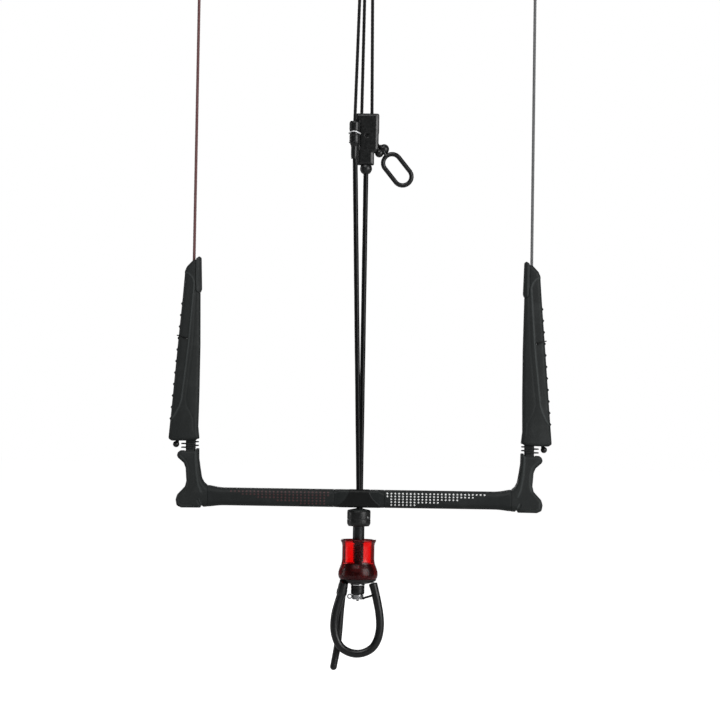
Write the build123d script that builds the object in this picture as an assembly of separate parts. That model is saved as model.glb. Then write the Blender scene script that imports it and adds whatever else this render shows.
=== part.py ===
from build123d import *
import math
import os

# Kitesurf control bar, millimetres. +X runs along the bar, +Z up the lines to the kite, and +Y away
# from the rider's front view. The origin is the middle of the chicken loop, where the harness hook
# sits. Heights in this file are measured from the bar's axis and lifted by HUB_Z when written.
HUB_Z = 178.0

# Bar
BAR_LENGTH = 508.0
BAR_TIP = BAR_LENGTH / 2
GRIP_HEIGHT = 24.6
GRIP_DEPTH = 29.0
GRIP_CORNER = 8.0
GRIP_END_X = 211.0
FLARE_X = 186.0
HUB_HALF = 35.0
HUB_DEPTH = 31.0
HUB_CORNER = 5.0
TUBE_R = 8.0
TUBE_WALL = 1.6
TUBE_START = 18.0
TUBE_END = 226.0
FIT = 0.05
SCREW_R = 1.5
SCREW_HEAD_R = 2.9
SCREW_HEAD = 2.2
SCREW_SINK = 0.4
SOCKET_R = 1.3
HUB_SCREW_X = 27.0
END_PIN_X = 218.0

# Insert in the hub that slides on the centre cords and lets the bar rock
INSERT_R = 15.0
INSERT_HALF_Y = 11.0
INSERT_HALF_Z = 7.0
INSERT_HOLE_X = 22.0
INSERT_HOLE_Y = 18.8
INSERT_HOLE_CORNER = 5.0
POCKET_HALF_Z = 9.8
MOUTH_HALF_Y = 9.6
MOUTH_INNER_X = 13.2
MOUTH_OUTER_X = 14.8

# Bar end, drawn for the right side
NECK_X = 235.5
NECK_BOTTOM = 62.5
END_DEPTH = 30.4
END_TOP_DEPTH = 22.0
ANCHOR_Z = 24.0
ANCHOR_R = 4.5
LEADER_R = 1.6
BAR_END_OUTLINE = [
    (GRIP_END_X, -14.6),
    (216.3, -14.9),
    (218.0, -13.2),
    (220.0, -16.0),
    (244.5, -16.0),
    (250.5, -12.5),
    (BAR_TIP, -4.0),
    (BAR_TIP, 1.6),
    (242.4, 14.4),
    (239.4, 20.5),
    (240.6, 38.0),
    (243.4, 44.8),
    (252.4, 51.8),
    (BAR_TIP, 55.0),
    (253.2, 58.6),
    (249.6, 61.6),
    (244.6, NECK_BOTTOM),
    (224.3, NECK_BOTTOM),
    (223.3, 46.0),
    (221.2, 35.6),
    (219.2, 27.5),
    (216.4, 21.4),
    (GRIP_END_X, 16.6),
]

# Neck, float and steering line on each side
NECK_TOP = 79.0
NECK_CORE_INNER = 228.3
NECK_CORE_OUTER = 242.0
NECK_DEPTH = 17.0
FIN = 2.0
FLOAT_SPLIT_Z = 285.0
FLOAT_DEPTH_BOTTOM = 26.0
FLOAT_DEPTH_TOP = 17.0
FLOAT_TOP_Z = 334.0
STEER_LINE_R = 1.6
STEER_TOP_X = 233.4
STEER_TOP_Z = 702.0
LOOP_CORD_R = 1.2
FLOAT_OUTLINE = [
    (223.7, 80.6),
    (229.0, 78.2),
    (NECK_CORE_OUTER, 77.2),
    (261.0, 77.0),
    (264.2, 78.4),
    (265.3, 81.4),
    (262.8, 113.0),
    (255.0, 209.0),
    (248.7, FLOAT_SPLIT_Z),
    (224.8, FLOAT_SPLIT_Z),
    (224.0, 209.0),
    (224.4, 140.0),
    (225.2, 96.0),
]
CAP_OUTLINE = [
    (248.7, FLOAT_SPLIT_Z),
    (245.4, 316.0),
    (243.6, 321.0),
    (229.2, 333.2),
    (227.2, FLOAT_TOP_Z),
    (225.2, 331.8),
    (222.8, 287.0),
    (223.4, FLOAT_SPLIT_Z),
]
KEEPER_HOLE_X = 243.0
KEEPER_HOLE_Z = 219.0
KEEPER_CORD_R = 0.8
KEEPER_RING_CORNER = 1.5
KEEPER_RING_HALF = 12.4
KEEPER_REACH_X = 256.6
BALL_X = 255.6
BALL_Z = 71.5
BALL_R = 4.0
BALL_CORD_R = 0.9
BALL_PULL = (0.43, 0.0, -0.903)
BALL_CORD_LENGTH = 38.0

# Centre cords
LINE_R = 3.5
TRIM_R = 2.25
CORD_BOTTOM = -23.0
DEPOWER_LOW = (1.9, 3.7, 0.0)
DEPOWER_HIGH = (2.1, 5.2, 458.7)
FLAG_LOW = (-0.4, -3.7, 0.0)
FLAG_HIGH = (-13.2, -5.7, 473.0)

# Swivel collar and quick release, all around the Z axis
COLLAR_R = 16.2
COLLAR_SPLIT = -17.6
COLLAR_BOTTOM = -38.4
STEM_R = 8.05
STEM_CORE_R = 5.5
STEM_STEP = -62.0
STEM_BORE = 1.9
HEAD_R = 11.8
HEAD_TOP = -24.5
HEAD_BOTTOM = -28.1
BASE_TOP = -33.1
BASE_R = 13.0
SLEEVE_WALL = 2.2
SLEEVE_WEB = -89.0
BODY_TOP = -91.4
BODY_BOTTOM = -118.8
POST_R = 9.45
POST_TOP = -121.0
POST_BOTTOM = -133.6
NUT_BOTTOM = -140.5
SPRING_WIRE = 0.6
SPRING_R = 6.35
SPRING_PITCH = 2.5
LATCH_PIVOT = (11.6, -96.6)
LATCH_NOSE = (14.1, -107.0)
LATCH_R = 1.9
LATCH_PIN_R = 1.25
LOOP_PIN_R = 2.0
SLOT_HALF = 2.6
EYE_INNER_X = 16.6
EYE_OUTER_X = 20.8
EYE_TOP = -105.0
LEASH_X = -10.9
LEASH_Z = -136.2
LEASH_HOLE_R = 2.0
LEASH_THICK = 3.0
LEASH_BAND = (-138.4, -134.1)

# Chicken loop
LOOP_R = 5.7
LOOP_BORE = 3.2
LOOP_WIDEST = 31.8
LOOP_WIDEST_Z = -178.0
LOOP_LOWEST_Z = -215.8
CUFF_R = 7.5
PIVOT_X = -20.0
PIVOT_Z = -120.0
CUFF_TILT = 10.5
CUFF_LENGTH = 14.0
FINGER_R = 4.7
FINGER_Y = 12.5
FINGER_PIN_R = 1.5
FINGER_PIVOT = (-20.9, -126.4)
FINGER_PIVOT_FRONT = (FINGER_PIVOT[0], 6.0, FINGER_PIVOT[1])
FINGER_PIVOT_REAR = (FINGER_PIVOT[0], 20.0, FINGER_PIVOT[1])
KEEPER_START = (20.2, -5.3, -134.4)
KEEPER_END = (8.0, -16.5, -138.2)
KEEPER_R = 1.35
KEEPER_KNOT_R = 2.0

# Trim unit above the bar
TRIM_Y = 6.8
TRIM_DEPTH = 18.0
TRIM_LEFT = -10.65
TRIM_RIGHT = 19.65
TRIM_LOW_LEFT = -8.5
TRIM_LOW_RIGHT = 13.9
TRIM_BOTTOM = 463.5
TRIM_STEP = 484.8
TRIM_TOP = 535.4
FIXED_CORD_X = -5.3
RUNNING_CORD_X = 9.6
CLEAT_LOW = 508.0
CLEAT_HIGH = 528.0
CLEAT_LEFT = 3.2
CLEAT_RIGHT = 16.0
CLEAT_TEETH = 6
TRIM_SCREW = (2.9, 504.9)
REAR_SCREW = (-3.6, 497.0)
STOP_BALL_R = 8.5
RING_X = 2.05
RING_Z = 715.0
RING_MAJOR = 7.75
RING_MINOR = 3.0
RING_CORD_R = 5.4
PULL_X = 0.631
PULL_Z = -0.777
HANDLE_X = 45.7
HANDLE_Z = 457.9
HANDLE_R = 2.85
HANDLE_BEND = 12.35
HANDLE_HALF = 11.9
HANDLE_STUB_R = 1.5
TRIM_BALL = (26.8, TRIM_Y, 486.2)
TRIM_BALL_R = 6.7
TRIM_KNOT = (21.9, TRIM_Y, 479.1)
TRIM_KNOT_R = 4.9

# Flag-out swivel on the safety line
FLAG_X = -14.4
FLAG_Y = -5.7
FLAG_R = 7.5


def between(low, high, z):
    """The point at height z on the straight line through low and high."""
    share = (z - low[2]) / (high[2] - low[2])
    return tuple(a + (b - a) * share for a, b in zip(low, high))


def rod(start, end, radius):
    """A round bar from one point to another."""
    along = Vector(*end) - Vector(*start)
    place = Plane(origin=start, z_dir=along)
    return place * Cylinder(radius, along.length, align=(Align.CENTER, Align.CENTER, Align.MIN))


def ball(centre, radius):
    return Pos(*centre) * Sphere(radius)


def outline(points):
    """A closed face in the XZ plane."""
    return make_face(Polyline(*[(x, 0, z) for x, z in points], close=True))


def plate(points, depth, y=0.0):
    """An XZ outline given thickness along Y, centred on y."""
    return Pos(0, y, 0) * extrude(outline(points), depth / 2, both=True)


def turned(points, x=0.0, y=0.0):
    """A profile of radius and height turned about a vertical axis."""
    return Pos(x, y, 0) * revolve(outline(points), Axis.Z)


def block(low, high):
    size = [b - a for a, b in zip(low, high)]
    middle = [(a + b) / 2 for a, b in zip(low, high)]
    return Pos(*middle) * Box(*size)


def cord(points, radius, tangents=()):
    """A round cord swept along a smooth curve through the points."""
    path = Spline(*points, tangents=tangents) if tangents else Spline(*points)
    section = Plane(origin=path @ 0, z_dir=path % 0) * Circle(radius)
    return sweep(section, path=path)


def eye_loop(x, z_low, height, width, radius, y=0.0):
    """A sewn loop: a slim ring of cord standing in the XZ plane."""
    ring = SlotOverall(height, width).wire()
    path = Plane(origin=(x, y, z_low + height / 2), x_dir=(0, 0, 1), z_dir=(0, 1, 0)) * ring
    section = Plane(origin=path @ 0, z_dir=path % 0) * Circle(radius)
    return sweep(section, path=path)


def mirrored(shape):
    return mirror(shape, Plane.YZ)


def save(node, *solids):
    """Lift the solids from the bar's axis to the part's origin and write them as one node."""
    placed = [Pos(0, 0, HUB_Z) * solid for shape in solids for solid in shape.solids()]
    whole = placed[0] if len(placed) == 1 else Compound(children=placed)
    export_step(whole, f"parts/{node}.step")


def save_pair(node, right):
    save(f"{node}_right", right)
    save(f"{node}_left", mirrored(right))


# Bar ---------------------------------------------------------------------------------------------


def bar_section(x, height, depth, corner, z=0.0):
    return Plane(origin=(x, 0, z), x_dir=(0, 1, 0), z_dir=(1, 0, 0)) * RectangleRounded(depth, height, corner)


def tube_along(x_from, x_to, radius):
    return rod((x_from, 0, 0), (x_to, 0, 0), radius)


def core_tube():
    tube = tube_along(TUBE_START, TUBE_END, TUBE_R) - tube_along(TUBE_START, TUBE_END, TUBE_R - TUBE_WALL)
    for x in (HUB_SCREW_X, END_PIN_X):
        tube -= rod((x, -TUBE_R - 1, 0), (x, TUBE_R + 1, 0), SCREW_R + FIT)
    return tube


def cross_screw(x, z, depth, y=0.0, reverse=False):
    """A screw along Y whose head sits flush in the rear face, or in the front face if reversed."""
    face = depth / 2
    way = -1 if reverse else 1
    top = face - SCREW_SINK
    shaft = rod((x, y - way * (face - 5), z), (x, y + way * top, z), SCREW_R)
    head = rod((x, y + way * (top - SCREW_HEAD), z), (x, y + way * top, z), SCREW_HEAD_R)
    socket = rod((x, y + way * (top - 1), z), (x, y + way * face, z), SOCKET_R)
    return shaft + head - socket


def screw_hole(x, z, depth, y=0.0, reverse=False):
    face = depth / 2
    way = -1 if reverse else 1
    shaft = rod((x, y - way * (face - 5), z), (x, y + way * (face + 1), z), SCREW_R + FIT)
    head_seat = y + way * (face - SCREW_SINK - SCREW_HEAD - FIT)
    return shaft + rod((x, head_seat, z), (x, y + way * (face + 1), z), SCREW_HEAD_R + FIT)


def hub_block():
    """The moulded hub: a pocket for the rocking insert, flared mouths, and sockets for the tubes."""
    hub = extrude(bar_section(-HUB_HALF, GRIP_HEIGHT, HUB_DEPTH, HUB_CORNER), 2 * HUB_HALF)
    pocket = rod((0, -INSERT_HALF_Y - 0.1, 0), (0, INSERT_HALF_Y + 0.1, 0), INSERT_R + 0.1)
    pocket &= Box(4 * INSERT_R, 4 * INSERT_R, 2 * POCKET_HALF_Z)
    hub -= pocket
    for side in (1, -1):
        mouth = [
            (-MOUTH_INNER_X, side * (INSERT_HALF_Z + 1)),
            (MOUTH_INNER_X, side * (INSERT_HALF_Z + 1)),
            (MOUTH_OUTER_X, side * (GRIP_HEIGHT / 2 + 1)),
            (-MOUTH_OUTER_X, side * (GRIP_HEIGHT / 2 + 1)),
        ]
        hub -= plate(mouth, 2 * MOUTH_HALF_Y)
        hub -= tube_along(side * (TUBE_START - FIT), side * (HUB_HALF + 1), TUBE_R + FIT)
        hub -= screw_hole(side * HUB_SCREW_X, 0, HUB_DEPTH)
    return hub


def hub_insert():
    barrel = rod((0, -INSERT_HALF_Y, 0), (0, INSERT_HALF_Y, 0), INSERT_R)
    barrel &= Box(4 * INSERT_R, 4 * INSERT_R, 2 * INSERT_HALF_Z)
    hole = RectangleRounded(INSERT_HOLE_X, INSERT_HOLE_Y, INSERT_HOLE_CORNER)
    return barrel - extrude(Pos(0, 0, -INSERT_R) * hole, 2 * INSERT_R)


def grip():
    """A rubber sleeve over the tube, flaring up to meet the bar end."""
    straight = extrude(bar_section(HUB_HALF, GRIP_HEIGHT, GRIP_DEPTH, GRIP_CORNER), FLARE_X - HUB_HALF)
    flare = loft(
        [
            bar_section(FLARE_X, GRIP_HEIGHT, GRIP_DEPTH, GRIP_CORNER),
            bar_section(201, 27.4, 29.6, 8.6, 0.1),
            bar_section(GRIP_END_X, 31.2, 30.4, 9.4, 1.0),
        ]
    )
    return straight + flare - tube_along(HUB_HALF - 1, GRIP_END_X + 1, TUBE_R + FIT)


def bar_end():
    """Moulded end: a foot, a waist, and an upper horn for winding the lines."""
    block_end = plate(BAR_END_OUTLINE, END_DEPTH + 1)
    low, high = END_DEPTH / 2, END_TOP_DEPTH / 2
    taper = [(-low, -20), (low, -20), (low, 12), (high, 64), (-high, 64), (-low, 12)]
    side = make_face(Polyline(*[(200, y, z) for y, z in taper], close=True))
    block_end &= extrude(side, 60, dir=(1, 0, 0))
    block_end -= tube_along(GRIP_END_X - 1, TUBE_END + 0.5, TUBE_R + FIT)
    block_end -= rod((NECK_X, 0, -20), (NECK_X, 0, ANCHOR_Z), ANCHOR_R + 0.1)
    block_end -= ball((NECK_X, 0, ANCHOR_Z), ANCHOR_R + 0.1)
    block_end -= rod((NECK_X, 0, ANCHOR_Z), (NECK_X, 0, NECK_BOTTOM + 1), LEADER_R + 0.15)
    return block_end - screw_hole(END_PIN_X, 0, END_DEPTH)


def leader_anchor():
    """Stopper ball and short leader that hold the steering line in the bar end."""
    stub = rod((NECK_X, 0, ANCHOR_Z), (NECK_X, 0, NECK_BOTTOM), LEADER_R)
    return ball((NECK_X, 0, ANCHOR_Z), ANCHOR_R) + stub


# Floats ------------------------------------------------------------------------------------------

def float_depth_limit():
    """A wedge in the YZ plane that thins the float from bottom to top."""
    low, high = FLOAT_DEPTH_BOTTOM / 2, FLOAT_DEPTH_TOP / 2
    sides = [(-low, 70), (low, 70), (high, 340), (-high, 340)]
    face = make_face(Polyline(*[(200, y, z) for y, z in sides], close=True))
    return extrude(face, 80, dir=(1, 0, 0))


def line_channel():
    return rod((NECK_X, 0, 60), (STEER_TOP_X, 0, STEER_TOP_Z), STEER_LINE_R + 0.1)


def ball_cord(radius, extra=0.0):
    start = (BALL_X, 0, BALL_Z)
    end = tuple(a - b * (BALL_CORD_LENGTH + extra) for a, b in zip(start, BALL_PULL))
    return rod(start, end, radius)


def float_foam():
    foam = plate(FLOAT_OUTLINE, 40) & float_depth_limit()
    foam -= line_channel()
    foam -= rod((KEEPER_HOLE_X, -20, KEEPER_HOLE_Z), (KEEPER_HOLE_X, 20, KEEPER_HOLE_Z), KEEPER_CORD_R + FIT)
    return foam - ball_cord(BALL_CORD_R + FIT, 1.0)


def float_cap():
    return (plate(CAP_OUTLINE, 40) & float_depth_limit()) - line_channel()


def steering_line():
    start = (NECK_X, 0, NECK_BOTTOM + 3)
    line = rod(start, (STEER_TOP_X, 0, STEER_TOP_Z), STEER_LINE_R)
    splice = rod((STEER_TOP_X, 0, STEER_TOP_Z - 1), (STEER_TOP_X, 0, STEER_TOP_Z + 13), STEER_LINE_R + 0.5)
    return line + splice + eye_loop(STEER_TOP_X, STEER_TOP_Z + 11, 22, 7.5, LOOP_CORD_R)


def line_keeper_cord():
    """A thin cord through the float and round its outer edge."""
    reach = KEEPER_REACH_X - KEEPER_HOLE_X
    middle = Pos(KEEPER_HOLE_X + reach / 2, 0, KEEPER_HOLE_Z)
    ring = middle * RectangleRounded(reach, 2 * KEEPER_RING_HALF, KEEPER_RING_CORNER)
    path = ring.wire()
    section = Plane(origin=path @ 0, z_dir=path % 0) * Circle(KEEPER_CORD_R)
    return sweep(section, path=path)


def keeper_ball():
    return ball((BALL_X, 0, BALL_Z), BALL_R) + ball_cord(BALL_CORD_R)


def neck_bellows(float_solid):
    """Flexible neck cut with slots from alternate sides."""
    half = NECK_DEPTH / 2
    neck = block((NECK_CORE_INNER, -half, NECK_BOTTOM), (NECK_CORE_OUTER, half, NECK_TOP))
    for z in (70.1, 75.3):
        neck += block((224.2, -half, z - FIN / 2), (NECK_CORE_INNER + 1, half, z + FIN / 2))
    for z in (67.3, 72.5):
        neck += block((NECK_CORE_OUTER - 1, -half, z - FIN / 2), (249.0, half, z + FIN / 2))
    neck -= float_solid
    return neck - rod((NECK_X, 0, 60), (NECK_X, 0, 90), LEADER_R + 0.3)


# Centre line, swivel collar ------------------------------------------------------------------------


def depower_line(radius=LINE_R, extra=0.0):
    low = between(DEPOWER_LOW, DEPOWER_HIGH, CORD_BOTTOM - extra)
    high = between(DEPOWER_LOW, DEPOWER_HIGH, 474.0 + extra)
    return rod(low, high, radius)


def flag_sheath(radius=LINE_R, extra=0.0):
    low = between(FLAG_LOW, FLAG_HIGH, CORD_BOTTOM - extra)
    high = between(FLAG_LOW, FLAG_HIGH, 487.0 + extra)
    return rod(low, high, radius)


def bar_bumper():
    """Domed rubber top that the bar rocks over."""
    dome = turned([(0, -12.9), (13.4, -15.9), (15.4, -16.5), (COLLAR_R, COLLAR_SPLIT), (0, COLLAR_SPLIT)])
    return dome - depower_line(LINE_R + FIT) - flag_sheath(LINE_R + FIT)


def swivel_collar():
    cup = [
        (0, COLLAR_SPLIT),
        (COLLAR_R, COLLAR_SPLIT),
        (COLLAR_R, -35.4),
        (15.4, -37.4),
        (13.6, COLLAR_BOTTOM),
        (BASE_R + FIT, COLLAR_BOTTOM),
        (BASE_R + FIT, -23.6),
        (0, -23.6),
    ]
    return turned(cup) - depower_line(LINE_R + FIT) - flag_sheath(LINE_R + FIT)


def collar_base():
    inner = STEM_R + 0.07
    return turned([(inner, BASE_TOP), (BASE_R, BASE_TOP), (BASE_R, COLLAR_BOTTOM), (inner, COLLAR_BOTTOM)])


def swivel_bearing():
    top = HEAD_BOTTOM - FIT
    low = BASE_TOP + 0.02
    return turned([(STEM_R + 0.07, top), (BASE_R - 0.1, top), (BASE_R - 0.1, low), (STEM_R + 0.07, low)])


def swivel_stem():
    """Stem with a head that turns on the bearing, a shoulder for the spring and a threaded end."""
    profile = [
        (STEM_BORE, HEAD_TOP),
        (HEAD_R, HEAD_TOP),
        (HEAD_R, HEAD_BOTTOM),
        (STEM_R, HEAD_BOTTOM),
        (STEM_R, STEM_STEP),
        (STEM_CORE_R, STEM_STEP),
        (STEM_CORE_R, POST_BOTTOM),
        (4.0, POST_BOTTOM),
        (4.0, NUT_BOTTOM),
        (STEM_BORE, NUT_BOTTOM),
    ]
    return turned(profile)


# Quick release -------------------------------------------------------------------------------------

def release_sleeve():
    """Translucent push-away sleeve with a web that the spring bears on."""
    outer = [
        (24.3, -57.0),
        (24.3, -58.4),
        (22.9, -61.5),
        (22.3, -65.0),
        (22.3, -85.5),
        (23.4, -91.0),
        (26.0, -97.5),
        (27.2, -102.0),
        (27.3, -106.0),
        (26.6, -110.0),
        (25.4, -112.0),
    ]
    inner = [(r - SLEEVE_WALL, z) for r, z in reversed(outer)]
    below = [(r, z) for r, z in inner if z < SLEEVE_WEB - 2.5]
    above = [(r, z) for r, z in inner if z > SLEEVE_WEB + 0.5]
    hole = STEM_CORE_R + 0.1
    web_r = 22.9 - SLEEVE_WALL
    web = [(web_r, SLEEVE_WEB - 2), (hole, SLEEVE_WEB - 2), (hole, SLEEVE_WEB), (web_r - 0.5, SLEEVE_WEB)]
    return turned(outer + below + web + above)


def release_spring():
    length = STEM_STEP - SLEEVE_WEB - 2 * SPRING_WIRE - 0.2
    helix = Helix(pitch=SPRING_PITCH, height=length, radius=SPRING_R)
    section = Plane(origin=helix @ 0, z_dir=helix % 0) * Circle(SPRING_WIRE)
    return Pos(0, 0, SLEEVE_WEB + SPRING_WIRE + 0.1) * sweep(section, path=helix, is_frenet=True)


def cross_pin(place, half, radius):
    """A round pin along Y through an (x, z) place."""
    x, z = place
    return rod((x, -half, z), (x, half, z), radius)


def release_body():
    profile = [
        (STEM_CORE_R + FIT, BODY_TOP),
        (18.4, BODY_TOP),
        (20.4, -95.0),
        (23.0, -101.0),
        (23.2, -109.0),
        (22.4, -112.6),
        (16.0, -116.4),
        (10.2, BODY_BOTTOM),
        (STEM_CORE_R + FIT, BODY_BOTTOM),
    ]
    body = turned(profile)
    body -= block((13.0, -SLOT_HALF, -125), (30, SLOT_HALF, -102.5))
    body -= block((8.2, -SLOT_HALF, -110.5), (16.2, SLOT_HALF, -93.6))
    body -= cross_pin(LATCH_PIVOT, 9, LATCH_PIN_R + FIT)
    body -= cross_pin((PIVOT_X, PIVOT_Z), 20, CUFF_R + 0.3)
    tongue = plate([(-24.0, PIVOT_Z), (-16.0, PIVOT_Z), (-14.5, -112), (-21.5, -110)], 4.4)
    tongue += cross_pin((PIVOT_X, PIVOT_Z), 2.2, 4.0)
    return body + tongue - cross_pin((PIVOT_X, PIVOT_Z), 9, LOOP_PIN_R + FIT)


def latch_lever():
    (px, pz), (nx, nz) = LATCH_PIVOT, LATCH_NOSE
    half = SLOT_HALF - 0.2
    lever = cross_pin(LATCH_PIVOT, half, 2.6) + cross_pin(LATCH_NOSE, half, LATCH_R)
    web = [(px - 2.2, pz - 1), (px + 2.2, pz - 1), (nx + LATCH_R, nz), (nx - LATCH_R, nz)]
    lever += plate(web, 2 * half)
    return lever - cross_pin(LATCH_PIVOT, 9, LATCH_PIN_R + FIT)


def release_pins():
    return cross_pin(LATCH_PIVOT, 8, LATCH_PIN_R), cross_pin((PIVOT_X, PIVOT_Z), 7.2, LOOP_PIN_R)


def post_rings():
    """Washer under the body and the flanged nut that ends the stem."""
    washer = turned(
        [(STEM_CORE_R + FIT, -118.9), (9.9, -118.9), (9.9, -120.9), (STEM_CORE_R + FIT, -120.9)]
    )
    nut = turned(
        [
            (4.05, -133.7),
            (6.5, -133.7),
            (6.5, -138.8),
            (7.6, -139.0),
            (7.6, -139.9),
            (7.0, NUT_BOTTOM),
            (4.05, NUT_BOTTOM),
        ]
    )
    return washer, nut


def post_bush():
    return turned(
        [
            (STEM_CORE_R + FIT, POST_TOP),
            (POST_R - 0.6, POST_TOP),
            (POST_R, POST_TOP - 0.8),
            (POST_R, POST_BOTTOM + 1.4),
            (POST_R - 1.4, POST_BOTTOM),
            (STEM_CORE_R + FIT, POST_BOTTOM),
        ]
    )


def leash_eye():
    """Ring that spins round the nut, with an upright eye for the leash shackle."""
    low, high = LEASH_BAND
    half = LEASH_THICK / 2
    band = turned([(6.58, high), (8.2, high), (8.2, low), (6.58, low)])
    lug = cross_pin((LEASH_X, LEASH_Z), half, 3.7)
    lug += block((LEASH_X, -half, low), (-7.4, half, high))
    lug -= rod((0, 0, -150), (0, 0, -120), 7.4)
    return band + lug - cross_pin((LEASH_X, LEASH_Z), 5, LEASH_HOLE_R)


# Chicken loop ----------------------------------------------------------------------------------------


def along_cuff(distance):
    """A point on the cuff's axis, measured down from the loop's pivot."""
    tilt = math.radians(CUFF_TILT)
    return (PIVOT_X - distance * math.sin(tilt), 0, PIVOT_Z - distance * math.cos(tilt))


def loop_path_tube(radius, start=7.0, end_z=-118.5):
    """The loop's centre line as a smooth teardrop from the cuff round to the release end."""
    points = [
        along_cuff(start),
        (-28.0, 0, -150),
        (-LOOP_WIDEST, 0, LOOP_WIDEST_Z),
        (-22.6, 0, -206.2),
        (0, 0, LOOP_LOWEST_Z),
        (22.6, 0, -206.2),
        (LOOP_WIDEST, 0, LOOP_WIDEST_Z),
        (28.2, 0, -147),
        (21.4, 0, end_z),
    ]
    return cord(points, radius)


def loop_tube():
    return loop_path_tube(LOOP_R) - loop_path_tube(LOOP_BORE)


def loop_cuff():
    cuff = rod(along_cuff(0), along_cuff(CUFF_LENGTH), CUFF_R) + ball(along_cuff(0), CUFF_R)
    cuff += rod(along_cuff(CUFF_LENGTH), along_cuff(CUFF_LENGTH + 1.5), CUFF_R - 0.9)
    cuff -= loop_path_tube(LOOP_R + 0.02, start=6.98)
    slab = Plane(origin=along_cuff(4.9), z_dir=Vector(*along_cuff(0)) - Vector(*along_cuff(1)))
    cuff -= slab * Box(30, 4.8, 20, align=(Align.CENTER, Align.CENTER, Align.MIN))
    cuff -= cross_pin((PIVOT_X, PIVOT_Z), 9, LOOP_PIN_R + FIT)
    return cuff - rod(FINGER_PIVOT_FRONT, FINGER_PIVOT_REAR, FINGER_PIN_R + FIT)


def loop_end_eye():
    """Steel tongue on the loop's free end that stands in the release slot."""
    shape = [(EYE_INNER_X, EYE_TOP), (EYE_OUTER_X - 0.8, EYE_TOP), (EYE_OUTER_X, -107), (22.0, -118.0)]
    shape += [(22.4, -121.5), (19.4, -121.5), (18.4, -118.0)]
    tongue = plate(shape, 2 * SLOT_HALF - 0.8)
    ring = rod((20.4, -2.3, -116.2), (20.4, 2.3, -116.2), 2.6)
    return (tongue + ring - loop_path_tube(LOOP_R)) - rod((18.9, -5, -109), (18.9, 5, -109), 1.2)


def keeper_cord():
    """Short cord from the loop's free leg to a small knot in front of the leash ring's sweep."""
    line = rod(KEEPER_START, KEEPER_END, KEEPER_R) + ball(KEEPER_START, KEEPER_R)
    return line + ball(KEEPER_END, KEEPER_KNOT_R)


def retainer_finger():
    """Stiff finger behind the loop that keeps the harness hook in."""
    x, z = FINGER_PIVOT
    points = [
        (x, FINGER_Y, z),
        (-21.9, FINGER_Y, -143),
        (-23.8, FINGER_Y, -167),
        (-26.9, FINGER_Y, -205),
        (-31.6, FINGER_Y, -233.8),
    ]
    finger = cord(points, FINGER_R) + ball(points[-1], FINGER_R)
    finger += rod((x, FINGER_Y - FINGER_R, z), (x, FINGER_Y + FINGER_R, z), 5.2)
    return finger - rod((x, 0, z), (x, 30, z), FINGER_PIN_R + FIT)


def finger_pin():
    x, z = FINGER_PIVOT
    rear = FINGER_Y + FINGER_R + 0.2
    return rod((x, 6.1, z), (x, rear + 1.5, z), FINGER_PIN_R) + rod((x, rear, z), (x, rear + 1.5, z), 3.4)


# Trim unit ---------------------------------------------------------------------------------------------


def pull_point(distance):
    """A point on the tail cord's line, measured back from the handle's inner end."""
    end = HANDLE_HALF + HANDLE_BEND + HANDLE_R
    x = HANDLE_X - PULL_X * (end + distance)
    z = HANDLE_Z - PULL_Z * (end + distance)
    return (x, TRIM_Y, z)


def trim_section(left, right, z):
    middle = (left + right) / 2
    return Pos(middle, TRIM_Y, z) * RectangleRounded(right - left, TRIM_DEPTH, 8.5)


def trim_cords(radius, low):
    """Both legs of the trim line and the bend through the ring."""
    bend_z = RING_Z - RING_MAJOR
    fixed_low = (FIXED_CORD_X, TRIM_Y, low)
    running_low = (RUNNING_CORD_X, TRIM_Y, low)
    left = (RING_X - RING_CORD_R, TRIM_Y, bend_z)
    right = (RING_X + RING_CORD_R, TRIM_Y, bend_z)
    arc = ThreePointArc(left, (RING_X, TRIM_Y, bend_z + RING_CORD_R), right)
    bend = sweep(Plane(origin=arc @ 0, z_dir=arc % 0) * Circle(radius), path=arc)
    legs = rod(fixed_low, left, radius) + rod(running_low, right, radius)
    return legs + bend + ball(left, radius) + ball(right, radius)


def trim_housing():
    shell = extrude(trim_section(TRIM_LEFT, TRIM_RIGHT, TRIM_STEP), TRIM_TOP - TRIM_STEP)
    top = shell.faces().sort_by(Axis.Z)[-1]
    shell = chamfer(top.edges(), 1.6)
    shell += extrude(trim_section(TRIM_LOW_LEFT, TRIM_LOW_RIGHT, TRIM_BOTTOM), TRIM_STEP - TRIM_BOTTOM)
    shell -= block((CLEAT_LEFT, TRIM_Y - 6, CLEAT_LOW), (CLEAT_RIGHT, TRIM_Y + 6, CLEAT_HIGH))
    shell -= trim_cords(TRIM_R + 0.15, 500.0)
    shell -= rod(pull_point(2), pull_point(28), TRIM_R + 0.15)
    shell -= ball(DEPOWER_HIGH, STOP_BALL_R + 0.1) + depower_line(LINE_R + FIT, 0.3)
    shell -= screw_hole(TRIM_SCREW[0], TRIM_SCREW[1], TRIM_DEPTH, TRIM_Y, reverse=True)
    shell -= screw_hole(REAR_SCREW[0], REAR_SCREW[1], TRIM_DEPTH, TRIM_Y)
    return shell - ball(TRIM_BALL, TRIM_BALL_R + 0.3) - ball(TRIM_KNOT, TRIM_KNOT_R + 0.3)


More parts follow.
